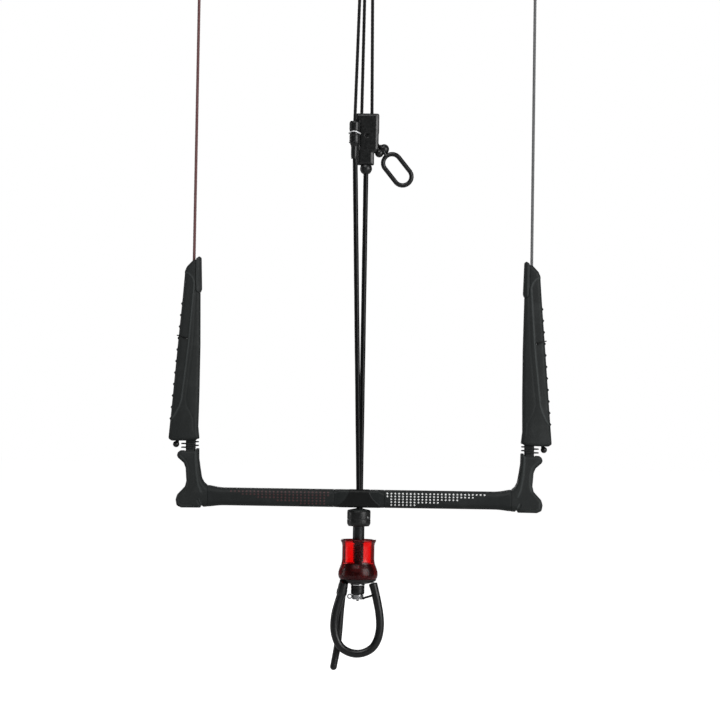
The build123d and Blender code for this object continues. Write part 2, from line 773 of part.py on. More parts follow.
def cleat_jaws():
    """Two ribbed jaws that grip the running leg of the trim line."""
    jaws = []
    for side in (-1, 1):
        wall = CLEAT_LEFT if side < 0 else CLEAT_RIGHT
        face = RUNNING_CORD_X + side * (TRIM_R + 0.3)
        points = [(wall - side * FIT, CLEAT_LOW + 1), (wall - side * FIT, CLEAT_HIGH - 1)]
        step = (CLEAT_HIGH - CLEAT_LOW - 2) / CLEAT_TEETH
        for i in range(CLEAT_TEETH):
            z = CLEAT_HIGH - 1 - i * step
            points += [(face + side * 1.1, z), (face, z - 0.7 * step)]
        points += [(face + side * 1.1, CLEAT_LOW + 1)]
        jaws.append(plate(points, 11.8, TRIM_Y))
    return jaws


def stop_ball():
    return ball(DEPOWER_HIGH, STOP_BALL_R) - depower_line(LINE_R + FIT)


def trim_ring():
    return Pos(RING_X, TRIM_Y, RING_Z) * Rot(0, 90, 0) * Torus(RING_MAJOR, RING_MINOR)


def front_line_pigtail():
    """Cord looped through the ring, spliced to one leader that ends in a stopper knot."""
    bend_z = RING_Z + RING_MAJOR
    left = (RING_X - RING_CORD_R, TRIM_Y, bend_z)
    right = (RING_X + RING_CORD_R, TRIM_Y, bend_z)
    arc = ThreePointArc(left, (RING_X, TRIM_Y, bend_z - RING_CORD_R), right)
    radius = TRIM_R - 0.15
    tail = sweep(Plane(origin=arc @ 0, z_dir=arc % 0) * Circle(radius), path=arc)
    for side in (left, right):
        tail += rod(side, (RING_X + (side[0] - RING_X) * 0.25, TRIM_Y, bend_z + 18), radius)
    tail += rod((RING_X, TRIM_Y, bend_z + 15), (RING_X, TRIM_Y, bend_z + 29), 3.6)
    tail += rod((RING_X, TRIM_Y, bend_z + 28), (RING_X, TRIM_Y, bend_z + 44), radius)
    return tail + ball((RING_X, TRIM_Y, bend_z + 44), 4.2)


def trim_tail_cord():
    return rod(pull_point(4.5), pull_point(26), TRIM_R)


def trim_ball():
    """Stopper ball and knot where the tail cord meets the handle."""
    knob = ball(TRIM_BALL, TRIM_BALL_R) + ball(TRIM_KNOT, TRIM_KNOT_R)
    knob -= rod(pull_point(4.4), pull_point(30), TRIM_R + 0.02)
    return knob - rod(pull_point(-2), pull_point(5), HANDLE_STUB_R + 0.06)


def trim_handle():
    """Oval ring handle on a short stub that turns in the stopper ball."""
    long_way = (PULL_X, 0, PULL_Z)
    oval = SlotCenterToCenter(2 * HANDLE_HALF, 2 * HANDLE_BEND).wire()
    path = Plane(origin=(HANDLE_X, TRIM_Y, HANDLE_Z), x_dir=long_way, z_dir=(0, 1, 0)) * oval
    ring = sweep(Plane(origin=path @ 0, z_dir=path % 0) * Circle(HANDLE_R), path=path)
    return ring + rod(pull_point(-HANDLE_R), pull_point(4.2), HANDLE_STUB_R)


# Flag-out swivel ----------------------------------------------------------------------------------------


def flag_collar_lower():
    """Tapered boot over the sheath, ending in a lipped collar."""
    boot = turned(
        [
            (0, 471.5),
            (4.3, 471.5),
            (4.8, 476.0),
            (4.9, 489.5),
            (6.6, 493.4),
            (7.8, 494.0),
            (7.8, 495.2),
            (7.3, 496.0),
            (7.3, 504.4),
            (6.6, 505.2),
            (0, 505.2),
        ],
        FLAG_X,
        FLAG_Y,
    )
    return boot - flag_sheath(LINE_R + FIT, 0.1)


def flag_collar_upper():
    collar = turned(
        [(0, 510.8), (6.8, 510.8), (FLAG_R, 511.6), (FLAG_R, 522.2), (6.2, 524.2), (0, 524.2)],
        FLAG_X,
        FLAG_Y,
    )
    core = turned([(0, 505.3), (2.6, 505.3), (2.6, 510.9), (0, 510.9)], FLAG_X, FLAG_Y)
    return collar + core


def flag_wave_ring():
    return turned(
        [(2.68, 506.2), (8.0, 506.2), (8.5, 506.8), (8.5, 509.2), (8.0, 509.9), (2.68, 509.9)],
        FLAG_X,
        FLAG_Y,
    )


def flag_line_upper():
    low = (FLAG_X, FLAG_Y, 524.3)
    high = (-10.1, -3.4, 706.0)
    line = rod(low, high, TRIM_R)
    return line + rod(high, (-10.0, -3.3, 720.0), 3.2) + eye_loop(-10.0, 717.0, 24, 9, 1.8, -3.3)


# Write every node ---------------------------------------------------------------------------------------

os.makedirs("parts", exist_ok=True)

tube = core_tube()
save("core_tubes", tube, mirrored(tube))
hub = hub_block()
save("hub_shell_front", hub & block((-60, -40, -40), (60, 0, 40)))
save("hub_shell_rear", hub & block((-60, 0, -40), (60, 40, 40)))
hub_screw = cross_screw(HUB_SCREW_X, 0, HUB_DEPTH)
end_pin = cross_screw(END_PIN_X, 0, END_DEPTH)
save("bar_screws", hub_screw, mirrored(hub_screw), end_pin, mirrored(end_pin))
save("hub_insert", hub_insert())
save_pair("grip", grip())
save_pair("bar_end", bar_end())
anchor = leader_anchor()
save("leader_anchors", anchor, mirrored(anchor))

foam = float_foam()
save_pair("float", foam)
save_pair("float_cap", float_cap())
save_pair("neck_bellows", neck_bellows(foam))
save_pair("steering_line", steering_line())
save_pair("line_keeper_cord", line_keeper_cord())
save_pair("keeper_ball", keeper_ball())

save("depower_line", depower_line())
save("flag_line_sheath", flag_sheath())
save("lower_stop_ball", stop_ball())
save("bar_bumper", bar_bumper())
save("swivel_collar", swivel_collar())
save("collar_base", collar_base())
save("swivel_bearing", swivel_bearing())
save("swivel_stem", swivel_stem())
save("flag_line_core", rod((0, 0, NUT_BOTTOM - 2), (0, 0, HEAD_TOP), STEM_BORE - 0.1))
save("release_sleeve", release_sleeve())
save("release_spring", release_spring())
save("release_body", release_body())
save("latch_lever", latch_lever())
save("release_pins", *release_pins())
save("post_rings", *post_rings())
save("post_bush", post_bush())
save("leash_eye", leash_eye())

save("loop_tube", loop_tube())
save("loop_core_cord", loop_path_tube(LOOP_BORE - FIT, start=7.5))
save("loop_cuff", loop_cuff())
save("loop_end_eye", loop_end_eye())
save("keeper_cord", keeper_cord())
save("retainer_finger", retainer_finger())
save("finger_pin", finger_pin())

housing = trim_housing()
save("trim_housing_front", housing & block((-60, -60, 400), (60, TRIM_Y, 600)))
save("trim_housing_rear", housing & block((-60, TRIM_Y, 400), (60, 60, 600)))
save("trim_cleat_jaws", *cleat_jaws())
save(
    "trim_housing_screws",
    cross_screw(TRIM_SCREW[0], TRIM_SCREW[1], TRIM_DEPTH, TRIM_Y, reverse=True),
    cross_screw(REAR_SCREW[0], REAR_SCREW[1], TRIM_DEPTH, TRIM_Y),
)
save("trim_line", trim_cords(TRIM_R, 501.0))
save("trim_ring", trim_ring())
save("front_line_pigtail", front_line_pigtail())
save("trim_tail_cord", trim_tail_cord())
save("trim_ball", trim_ball())
save("trim_handle", trim_handle())
save("flag_collar_lower", flag_collar_lower())
save("flag_collar_upper", flag_collar_upper())
save("flag_wave_ring", flag_wave_ring())
save("flag_line_upper", flag_line_upper())
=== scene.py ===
import math

import bmesh
import bpy
import numpy as np
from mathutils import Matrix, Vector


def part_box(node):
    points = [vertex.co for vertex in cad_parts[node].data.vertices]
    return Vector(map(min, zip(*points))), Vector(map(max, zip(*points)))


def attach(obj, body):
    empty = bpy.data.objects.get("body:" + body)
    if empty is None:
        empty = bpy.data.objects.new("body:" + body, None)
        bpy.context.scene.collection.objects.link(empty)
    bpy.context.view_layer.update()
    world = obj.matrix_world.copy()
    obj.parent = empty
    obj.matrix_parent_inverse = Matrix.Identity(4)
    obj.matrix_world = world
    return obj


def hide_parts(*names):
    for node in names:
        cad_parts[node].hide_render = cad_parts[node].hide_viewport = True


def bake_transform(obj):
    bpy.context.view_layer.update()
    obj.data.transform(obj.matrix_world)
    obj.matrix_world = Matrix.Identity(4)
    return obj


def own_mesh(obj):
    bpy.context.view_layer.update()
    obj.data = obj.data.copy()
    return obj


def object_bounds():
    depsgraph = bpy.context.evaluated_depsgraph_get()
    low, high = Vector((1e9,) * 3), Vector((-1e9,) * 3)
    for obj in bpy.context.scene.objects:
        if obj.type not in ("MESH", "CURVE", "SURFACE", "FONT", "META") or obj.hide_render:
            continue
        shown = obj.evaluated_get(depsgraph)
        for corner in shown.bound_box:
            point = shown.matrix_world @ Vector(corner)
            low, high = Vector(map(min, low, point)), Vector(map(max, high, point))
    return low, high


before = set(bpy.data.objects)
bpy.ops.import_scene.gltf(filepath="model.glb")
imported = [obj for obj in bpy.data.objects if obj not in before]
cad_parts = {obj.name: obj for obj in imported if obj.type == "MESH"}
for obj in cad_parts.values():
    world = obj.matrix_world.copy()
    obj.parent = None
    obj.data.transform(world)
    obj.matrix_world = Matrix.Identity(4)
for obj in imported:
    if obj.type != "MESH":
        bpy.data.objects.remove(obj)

import openvdb
from mathutils import Matrix, Vector

# The looks of a kitesurf control bar. Lengths are millimetres and heights are measured from the bar's axis;
# add_mesh() puts them into the frame's metres. Side pieces are drawn for the right side and mirrored for the
# left.
CAD_LOW, CAD_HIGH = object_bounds()
MM = 0.001
tube_low, tube_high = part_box("core_tubes")
BAR_Z = (tube_low.z + tube_high.z) / 2 / MM


def span(node):
    """A CAD node's lowest and highest corners in millimetres at bar heights."""
    low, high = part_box(node)
    shift = Vector((0, 0, BAR_Z))
    return low / MM - shift, high / MM - shift


# Sizes taken from the frame
HUB_X, SEAM_X = (corner.x for corner in span("grip_right"))
FLOAT_LOW, FLOAT_HIGH = span("float_right")
CAP_TOP = span("float_cap_right")[1].z
SPRING_FOOT, SPRING_TOP = (corner.z for corner in span("release_spring"))
TRIM_Y = span("trim_housing_front")[1].y
KEEPER_X = span("keeper_cord")[1].x - 2
FLAG_X, FLAG_Y, WASHER_Z = ((low + high) / 2 for low, high in zip(*span("flag_wave_ring")))

# Where the steering lines run
NECK_X = 235.5
LINE_FOOT_Z = 65.5
LINE_TOP_X = 233.4
LINE_TOP_Z = 702
STEERING_R = 2.05


# Mesh helpers ------------

SMOOTH = 38
WOVEN = 60
UP = (0, 0, 1)


def add_mesh(name, shape, material, crease=SMOOTH):
    """A smooth-shaded mesh with outward faces, from points in mm at bar heights."""
    points, faces = shape
    mesh = bpy.data.meshes.new(name)
    place = (np.asarray(points, float) + (0, 0, BAR_Z)) * MM
    mesh.from_pydata(place.tolist(), [], [tuple(int(i) for i in face) for face in faces])
    work = bmesh.new()
    work.from_mesh(mesh)
    bmesh.ops.recalc_face_normals(work, faces=work.faces)
    work.to_mesh(mesh)
    work.free()
    mesh.shade_smooth()
    mesh.set_sharp_from_angle(angle=math.radians(crease))
    mesh.materials.append(material)
    piece = bpy.data.objects.new(name, mesh)
    bpy.context.scene.collection.objects.link(piece)
    return piece


def put(name, shape, material, body, slot, *nodes, crease=SMOOTH, marks=None):
    """A piece that rides on a body and stands for CAD nodes; slot is not used."""
    piece = add_mesh(name, shape, material, crease)
    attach(piece, body)
    if nodes:
        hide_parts(*nodes)
    # marks hold the hub's panel tone, painted highlights on bar ends and floats, painted shade on the sleeve
    # and a paler band on the float tips
    if marks is not None:
        layer = piece.data.attributes.new("tone_and_painted_light", "FLOAT", "POINT")
        layer.data.foreach_set("value", np.clip(marks, 0, 1).astype(np.float32))


def put_pair(name, shape, material, body, slot, *nodes, marks=None):
    """A piece on the right and its mirror image on the left; {} in a name takes the side."""
    for side, half in (("right", shape), ("left", mirror_x(*shape))):
        named = [node.format(side) for node in nodes]
        put(name.format(side), half, material, body.format(side), slot, *named, marks=marks)


def put_blend(name, shape, material, node, crease=SMOOTH):
    """A piece fixed in the frame where it was drawn, standing for a CAD node."""
    piece = add_mesh(name, shape, material, crease)
    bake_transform(piece)
    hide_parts(node)


def mirror_x(points, faces):
    return points * (-1, 1, 1), [tuple(face)[::-1] for face in faces]


def circle(count):
    """Angles evenly round a full turn."""
    return np.linspace(0, 2 * math.pi, count, endpoint=False)


def skin_rings(rings, closed=False):
    """Points and faces of a skin over rings of equal point counts, capped unless closed."""
    count, around = len(rings), len(rings[0])
    points = np.asarray(rings, float).reshape(-1, 3)
    faces = []
    for i in range(count if closed else count - 1):
        this, following = i * around, (i + 1) % count * around
        for j in range(around):
            k = (j + 1) % around
            faces.append((this + j, this + k, following + k, following + j))
    if not closed:
        faces.append(tuple(range(around))[::-1])
        faces.append(tuple(range((count - 1) * around, count * around)))
    return points, faces


def lathe(profile, origin=(0, 0, 0), axis=UP, sides=96, closed=False, relief=None):
    """Turn (radius, height) pairs about an axis; relief(turn, height) adds to the radius."""
    turn = circle(sides)
    lift = np.array(Vector(UP).rotation_difference(Vector(axis)).to_matrix())
    rings = []
    for radius, height in profile:
        swell = relief(turn, height) if relief and radius > 0.1 else 0
        reach = max(radius, 0.02) + swell
        flat = np.stack([reach * np.cos(turn), reach * np.sin(turn), np.full(sides, height)], 1)
        rings.append(flat @ lift.T + origin)
    return skin_rings(rings, closed)


def path_through(points, step=1, closed=False):
    """Evenly spaced points on a smooth curve through the given points."""
    points = [np.asarray(p, float) for p in points]
    if len(points) == 2:
        count = max(2, int(np.linalg.norm(points[1] - points[0]) / step))
        return [points[0] + (points[1] - points[0]) * t for t in np.linspace(0, 1, count + 1)]
    if closed:
        run = [points[-1], *points, points[0], points[1]]
    else:
        run = [2 * points[0] - points[1], *points, 2 * points[-1] - points[-2]]
    dense = []
    for a, b, c, d in zip(run, run[1:], run[2:], run[3:]):
        for t in np.linspace(0, 1, 24, endpoint=False):
            pull = (2 * b, c - a, 2 * a - 5 * b + 4 * c - d, 3 * b - 3 * c + d - a)
            dense.append(0.5 * sum(part * t**power for power, part in enumerate(pull)))
    dense.append(points[0] if closed else points[-1])
    dense = np.array(dense)
    gaps = np.linalg.norm(np.diff(dense, axis=0), axis=1)
    along = np.concatenate([[0], np.cumsum(gaps)])
    even = np.linspace(0, along[-1], max(3, int(along[-1] / step)) + 1)
    spaced = [np.array([np.interp(s, along, dense[:, i]) for i in range(3)]) for s in even]
    return spaced[:-1] if closed else spaced


def path_frames(path, closed):
    """Tangent and two sideways directions at each point, carried along without twist."""
    count = len(path)
    frames = []
    side = None
    for i in range(count):
        before = path[i - 1] if closed or i else path[0]
        after = path[(i + 1) % count] if closed or i < count - 1 else path[-1]
        tangent = (after - before) / np.linalg.norm(after - before)
        if side is None:
            side = np.array((0, 1, 0) if abs(tangent[1]) < 0.9 else (1, 0, 0))
        side = side - tangent * (side @ tangent)
        side = side / np.linalg.norm(side)
        frames.append((tangent, side, np.cross(tangent, side)))
    return frames


def end_rows(row, way, ends):
    """Rows that finish a tube's end, in order outwards: a dome, or a flat with a soft edge."""
    centre, axes, radius, along = row
    if ends == "round":
        steps = [(math.sin(a), math.cos(a)) for a in np.linspace(0, math.pi / 2 - 0.05, 8)]
        depth = radius
    else:
        steps = [(0, 1), (0.7, 0.95), (1, 0.8)]
        depth = min(0.5, radius * 0.2)
    return [(centre + axes[0] * way * depth * out, axes, radius * size, along) for out, size in steps]


def sweep(path, radius, sides=24, closed=False, relief=None, ends="flat"):
    """A tube along a path. radius is a number or a function of the distance along it."""
    turn = circle(sides)
    rows = []
    along = 0
    for i, (centre, axes) in enumerate(zip(path, path_frames(path, closed))):
        if i:
            along += np.linalg.norm(path[i] - path[i - 1])
        rows.append((centre, axes, radius(along) if callable(radius) else radius, along))
    if not closed:
        rows = end_rows(rows[0], -1, ends)[::-1] + rows[1:-1] + end_rows(rows[-1], 1, ends)
    rings = []
    for centre, (_, side, other), reach, s in rows:
        wide = reach + (relief(s, turn) * min(1, reach) if relief else 0) + np.zeros(sides)
        ring = np.outer(wide * np.cos(turn), side) + np.outer(wide * np.sin(turn), other)
        rings.append(ring + centre)
    return skin_rings(rings, closed)


def braid(radius, depth, pitch=4.2, strands=4):
    """Relief of a braided cover: diamonds where two sets of strands cross."""

    def relief(s, turn):
        one = np.sin(strands * turn / 2 + math.pi * s / (pitch * radius))
        two = np.sin(strands * turn / 2 - math.pi * s / (pitch * radius))
        return depth * (np.abs(one) * np.abs(two) - 0.6)

    return relief


def rope(points, radius, sides, step=0.5, depth=0.14, pitch=2.6, strands=4, cover=None, ends="flat"):
    """A braided cord through the given points; cover sizes the braid where the radius varies."""
    relief = braid(cover or radius, depth, pitch, strands)
    return sweep(path_through(points, step), radius, sides, relief=relief, ends=ends)


def fillet(corners, closed=True, steps=6):
    """An outline with rounded corners, from (across, height, corner radius)."""
    points = [np.array(corner[:2], float) for corner in corners]
    count = len(points)
    out = []
    for i, (here, (*_, size)) in enumerate(zip(points, corners)):
        if size <= 0 or (not closed and i in (0, count - 1)):
            out.append(tuple(corners[i][:2]))
            continue
        back, on = points[i - 1] - here, points[(i + 1) % count] - here
        back_length, on_length = np.linalg.norm(back), np.linalg.norm(on)
        back, on = back / back_length, on / on_length
        half = math.acos(max(-1, min(1, float(back @ on)))) / 2
        reach = min(size / max(math.tan(half), 1e-3), back_length * 0.48, on_length * 0.48)
        for t in np.linspace(0, 1, steps):
            spot = here + back * reach * (1 - t) ** 2 + on * reach * t**2
            out.append((float(spot[0]), float(spot[1])))
    return out


def ease(value):
    value = np.clip(value, 0, 1)
    return value * value * (3 - 2 * value)


# Distance fields: negative inside, in mm ------------


def mesh_field(low, high, voxel, distance):
    """Points and quads of the zero level of distance(x, y, z) in the box from low to high."""
    axes = [np.arange(a - 2 * voxel, b + 2 * voxel, voxel) for a, b in zip(low, high)]
    field = distance(*np.meshgrid(*axes, indexing="ij", sparse=True))
    grid = openvdb.FloatGrid(3)
    grid.copyFromArray(np.clip(field, -3, 3).astype(np.float32))
    points, triangles, quads = grid.convertToPolygons(isovalue=0, adaptivity=0)
    faces = [tuple(face) for face in triangles] + [tuple(face) for face in quads]
    return points * voxel + [axis[0] for axis in axes], faces


def polyline_distance(points, x, z):
    """Distance to a run of straight edges in the XZ plane."""
    nearest = np.full(np.broadcast(x, z).shape, 1e9)
    for (ax, az), (bx, bz) in zip(points, points[1:]):
        ex, ez = bx - ax, bz - az
        if ex * ex + ez * ez < 1e-9:
            continue
        t = np.clip(((x - ax) * ex + (z - az) * ez) / (ex * ex + ez * ez), 0, 1)
        nearest = np.minimum(nearest, (x - ax - t * ex) ** 2 + (z - az - t * ez) ** 2)
    return np.sqrt(nearest)


def outline_distance(points, x, z):
    """Signed distance to a closed outline in the XZ plane."""
    ring = points + points[:1]
    inside = np.zeros(np.broadcast(x, z).shape, bool)
    for (ax, az), (bx, bz) in zip(ring, ring[1:]):
        if abs(bz - az) > 1e-9:
            inside ^= ((az > z) != (bz > z)) & (x < (bx - ax) * (z - az) / (bz - az) + ax)
    return np.where(inside, -1, 1) * polyline_distance(ring, x, z)


def ridge(line, width, x, z):
    """A bell-shaped share, 1 on a polyline and falling off over a width."""
    return np.exp(-((polyline_distance(line, x, z) / width) ** 2))


def rub_along(lines, points):
    """Painted highlight amounts near a set of (polyline, width, strength)."""
    x, y, z = points.T
    amounts = sum(strength * ridge(line, width, x, z) for line, width, strength in lines)
    return amounts * (np.abs(y) > 3)


def rounded_and(a, b, radius):
    """The overlap of two fields with its edge rounded."""
    a, b = a + radius, b + radius
    corner = np.hypot(np.maximum(a, 0), np.maximum(b, 0))
    return np.minimum(np.maximum(a, b), 0) + corner - radius


def carved(body, *cuts):
    """A field with holes cut into it; each cut is a field and the rounding of its rim."""
    for hole, radius in cuts:
        body = rounded_and(body, -hole, radius)
    return body


def bore(across, along, radius):
    """A round hole about the point where both distances are zero."""
    return np.hypot(across, along) - radius


def all_of(*fields):
    """The sharp-edged overlap of several fields."""
    overlap = fields[0]
    for field in fields[1:]:
        overlap = np.maximum(overlap, field)
    return overlap


def soft_or(a, b, width):
    """The join of two fields with its crease filled."""
    share = np.clip(0.5 + 0.5 * (b - a) / width, 0, 1)
    return b * (1 - share) + a * share - width * share * (1 - share)


def rod_distance(x, y, z, start, end, radius):
    """Distance to a round-ended rod between two points."""
    start, end = np.array(start, float), np.array(end, float)
    way = end - start
    t = ((x - start[0]) * way[0] + (y - start[1]) * way[1] + (z - start[2]) * way[2]) / (way @ way)
    t = np.clip(t, 0, 1)
    dx, dy, dz = (v - s - t * w for v, s, w in zip((x, y, z), start, way))
    return np.sqrt(dx * dx + dy * dy + dz * dz) - radius


def ball_distance(x, y, z, centre, radius):
    return np.sqrt((x - centre[0]) ** 2 + (y - centre[1]) ** 2 + (z - centre[2]) ** 2) - radius


def half_shell(field, way, middle, low, high, voxel, gap, soft):
    """Half of a body that is split at y = middle: the front half for way -1, the rear for 1."""

    def half(x, y, z):
        return rounded_and(field(x, y, z), gap - way * (y - middle), soft)

    front, rear = (low[1], middle + 1) if way < 0 else (middle - 1, high[1])
    return mesh_field((low[0], front, low[2]), (high[0], rear, high[2]), voxel, half)


# Materials ------------


def add_node(tree, kind, inputs, **settings):
    """A shader node; an input takes a value or a link from a socket."""
    made = tree.nodes.new("ShaderNode" + kind)
    for key, value in settings.items():
        setattr(made, key, value)
    for key, value in inputs.items():
        if isinstance(value, bpy.types.NodeSocket):
            tree.links.new(value, made.inputs[key])
        else:
            made.inputs[key].default_value = value
    return made


class Surface:
    """A procedural material built up one effect at a time on a Principled shader."""

    def __init__(self, name, colour, rough, metallic=0):
        self.material = bpy.data.materials.new(name)
        self.material.use_nodes = True
        self.tree = self.material.node_tree
        self.shader = self.tree.nodes["Principled BSDF"]
        self.place = self.node("TexCoord").outputs["Object"]
        self.colour = self.node("RGB").outputs[0]
        self.colour.default_value = (*colour, 1)
        self.link(self.colour, self.shader.inputs["Base Color"])
        self.rough = rough
        self.set(Metallic=metallic, Roughness=rough)

    def node(self, kind, inputs=None, **settings):
        return add_node(self.tree, kind, inputs or {}, **settings)

    def link(self, out, into):
        self.tree.links.new(out, into)

    def set(self, **values):
        for key, value in values.items():
            self.shader.inputs[key.replace("_", " ")].default_value = value
        return self

    def noise(self, size_mm, detail=3, stretch=(1, 1, 1)):
        """Noise whose features are about size_mm across."""
        place = self.node("Mapping", {"Scale": stretch, "Vector": self.place}).outputs["Vector"]
        inputs = {"Scale": 1 / (size_mm * MM), "Detail": detail, "Vector": place}
        return self.node("TexNoise", inputs).outputs["Fac"]

    def marks(self):
        """The amounts that put() stores on a piece: the hub's panel tone, painted highlights on the bar ends
        and floats, painted shade on the sleeve, a paler band on the float tips.
        """
        return self.node("Attribute", attribute_name="tone_and_painted_light").outputs["Fac"]

    def remap(self, value, low, high, into_low=0, into_high=1):
        inputs = {"From Min": low, "From Max": high, "To Min": into_low, "To Max": into_high, "Value": value}
        return self.node("MapRange", inputs).outputs["Result"]

    def tint(self, colour, amount):
        """Mix another colour into the base colour where amount is high."""
        inputs = {"Factor": amount, 6: self.colour, 7: (*colour, 1)}
        self.colour = self.node("Mix", inputs, data_type="RGBA").outputs[2]
        self.link(self.colour, self.shader.inputs["Base Color"])
        return self

    def marked(self, colour):
        return self.tint(colour, self.marks())

    def mottled(self, colour, size_mm=14, low=0.45, high=0.7, strength=1):
        return self.tint(colour, self.remap(self.noise(size_mm), low, high, 0, strength))

    def uneven(self, spread, size_mm=6):
        """Roughness that varies by spread either way."""
        low, high = self.rough - spread, self.rough + spread
        self.link(self.remap(self.noise(size_mm), 0.3, 0.7, low, high), self.shader.inputs["Roughness"])
        return self

    def worn(self, colour, sharpness=0.56, strength=0.5):
        """Paler, rubbed edges."""
        edge = self.node("NewGeometry").outputs["Pointiness"]
        return self.tint(colour, self.remap(edge, sharpness, sharpness + 0.08, 0, strength))

    def grained(self, size_mm, depth_mm, stretch=(1, 1, 1)):
        """Bumps on top of any bumps that are there already."""
        height = self.noise(size_mm, 4, stretch)
        bump = self.node("Bump", {"Distance": depth_mm * MM, "Strength": 1, "Height": height})
        normal = self.shader.inputs["Normal"]
        if normal.is_linked:
            self.link(normal.links[0].from_socket, bump.inputs["Normal"])
        self.link(bump.outputs["Normal"], normal)
        return self


def lighter(colour, factor, lift):
    return tuple(min(1, c * factor + lift) for c in colour)


def moulded_rubber(name, colour, rough=0.62):
    """Matte moulded foam rubber: fine pebble grain, faint cloudiness, rubbed edges, and a much paler tint
    where a piece stores marks, which paints highlights on ridges and creases.
    """
    paler = lighter(colour, 1.5, 0.01)
    made = Surface(name, colour, rough)
    made.mottled(paler, 22, 0.5, 0.75, 0.5).uneven(0.07, 4).worn(paler, 0.54, 0.5)
    # The marked tint is the painted highlight colour, far paler than the rubber.
    made.marked(lighter(colour, 2.3, 0.012)).grained(0.45, 0.05).grained(2.5, 0.06)
    return made.set(Specular_IOR_Level=0.3).material


def moulded_plastic(name, colour, rough=0.34, grain=0.02, shine=0.5):
    """Satin moulded nylon with flow marks and light scuffs."""
    paler = lighter(colour, 1.7, 0.006)
    made = Surface(name, colour, rough)
    made.mottled(paler, 9, 0.52, 0.78, 0.45).uneven(0.08, 3).worn(paler, 0.55, 0.6)
    made.grained(0.3, grain).grained(5, 0.05, (1, 1, 0.3))
    return made.set(Specular_IOR_Level=shine).material


def hub_moulding(name, colour, panel):
    """Satin nylon with a darker raised panel."""
    made = Surface(name, colour, 0.46).marked(panel).uneven(0.06, 3).grained(0.4, 0.015)
    return made.set(Specular_IOR_Level=0.25).material


def braided(name, colour, fleck, rough=0.7):
    """Woven cord: fibre streaks along the strands and darker gaps."""
    made = Surface(name, colour, rough)
    made.mottled(fleck, 1.1, 0.45, 0.62, 0.8).uneven(0.06, 1.5)
    made.grained(0.22, 0.05, (1, 1, 0.45)).grained(1, 0.05)
    return made.set(Sheen_Weight=0.05, Specular_IOR_Level=0.2).material


def metal(name, colour, rough, streak=(1, 1, 1)):
    made = Surface(name, colour, rough, metallic=1)
    made.mottled(tuple(c * 0.72 for c in colour), 3, 0.5, 0.75, 0.5)
    return made.uneven(rough * 0.35, 1.2).grained(0.25, 0.006, streak).material


def printed(name, colour, fleck):
    """A thin printed mark."""
    return Surface(name, colour, 0.5).mottled(fleck, 2).grained(0.3, 0.02).material


def clear_red(name):
    """Tinted see-through plastic: each wall colours the light, with a gloss on top."""
    made = Surface(name, (0.075, 0.002, 0.004), 0.2)
    made.uneven(0.05, 8).grained(14, 0.08).set(Specular_IOR_Level=0)
    clear = made.node("BsdfTransparent", {"Color": (0.955, 0.11, 0.115, 1)}).outputs[0]
    facing = made.node("LayerWeight", {"Blend": 0.5}).outputs["Facing"]
    slant = made.remap(facing, 0.42, 0.72, 0.03, 0.9)
    # Marks add painted shade: the wall turns more opaque and darker where a piece stores them.
    edge = made.node("Math", {0: slant, 1: made.marks()}, operation="ADD", use_clamp=True).outputs[0]
    wall = made.node("MixShader", {0: edge, 1: clear, 2: made.shader.outputs[0]}).outputs[0]
    shine = made.node("BsdfGlossy", {"Roughness": 0.27}).outputs[0]
    fresnel = made.node("Fresnel", {"IOR": 1.4}).outputs[0]
    inside = made.node("NewGeometry").outputs["Backfacing"]
    outside = made.node("Math", {0: 1, 1: inside}, operation="SUBTRACT").outputs[0]
    share = made.node("Math", {0: fresnel, 1: outside}, operation="MULTIPLY").outputs[0]
    coat = made.node("MixShader", {0: share, 1: wall, 2: shine}).outputs[0]
    made.link(coat, made.tree.nodes["Material Output"].inputs["Surface"])
    return made.material


RUBBER = moulded_rubber("foam_rubber", (0.0156, 0.0182, 0.018))
GRIP = moulded_rubber("grip_rubber", (0.0115, 0.014, 0.014), 0.58)
NECK = moulded_rubber("neck_rubber", (0.009, 0.0105, 0.0105), 0.55)
PLASTIC = moulded_plastic("black_nylon", (0.0065, 0.007, 0.0072))
HUB = hub_moulding("hub_moulding", (0.0135, 0.016, 0.016), (0.004, 0.0046, 0.0046))
HOSE = moulded_plastic("loop_hose", (0.004, 0.0045, 0.005), 0.36, 0.015)
SHEATH = moulded_plastic("coated_line", (0.003, 0.0033, 0.0036), 0.34, 0.012, 0.22)
ACETAL = moulded_plastic("grey_acetal", (0.06, 0.06, 0.06), 0.42)
BODY = moulded_plastic("release_nylon", (0.006, 0.006, 0.0062), 0.45)
CARBON = moulded_plastic("fibre_tube", (0.02, 0.02, 0.021), 0.3)
CORD = braided("black_cord", (0.004, 0.004, 0.0044), (0.014, 0.0143, 0.0147))
RED_LINE = braided("red_line", (0.2, 0.095, 0.095), (0.09, 0.042, 0.043))
GREY_LINE = braided("grey_line", (0.17, 0.172, 0.175), (0.1, 0.102, 0.104))
STEEL = metal("steel", (0.56, 0.57, 0.58), 0.26)
BRIGHT = metal("bright_steel", (0.8, 0.81, 0.82), 0.12)
SPRING = metal("spring_steel", (0.05, 0.05, 0.052), 0.4)
ANODISED = metal("black_anodised", (0.045, 0.046, 0.048), 0.36)
ALUMINIUM = metal("aluminium", (0.62, 0.63, 0.64), 0.34, (1, 1, 4))
WASHER = Surface("pale_washer", (0.82, 0.83, 0.84), 0.3, 0.2).mottled((0.7, 0.71, 0.72), 2)
WASHER = WASHER.grained(0.25, 0.006).material
WHITE_DOT = printed("white_print", (0.92, 0.93, 0.92), (0.75, 0.76, 0.75))
RED_DOT = printed("red_print", (0.058, 0.018, 0.02), (0.034, 0.017, 0.018))
RED = clear_red("clear_red")


# Bar ------------

GRIP_CORNER = 8
GRIP_HALF_Y = 14.5
GRIP_HALF_Z = 12.3
FLARE_X = 178
SCREW_HOLE_R = 3.05
HUB_SCREW_X = 27
END_SCREW_X = 218


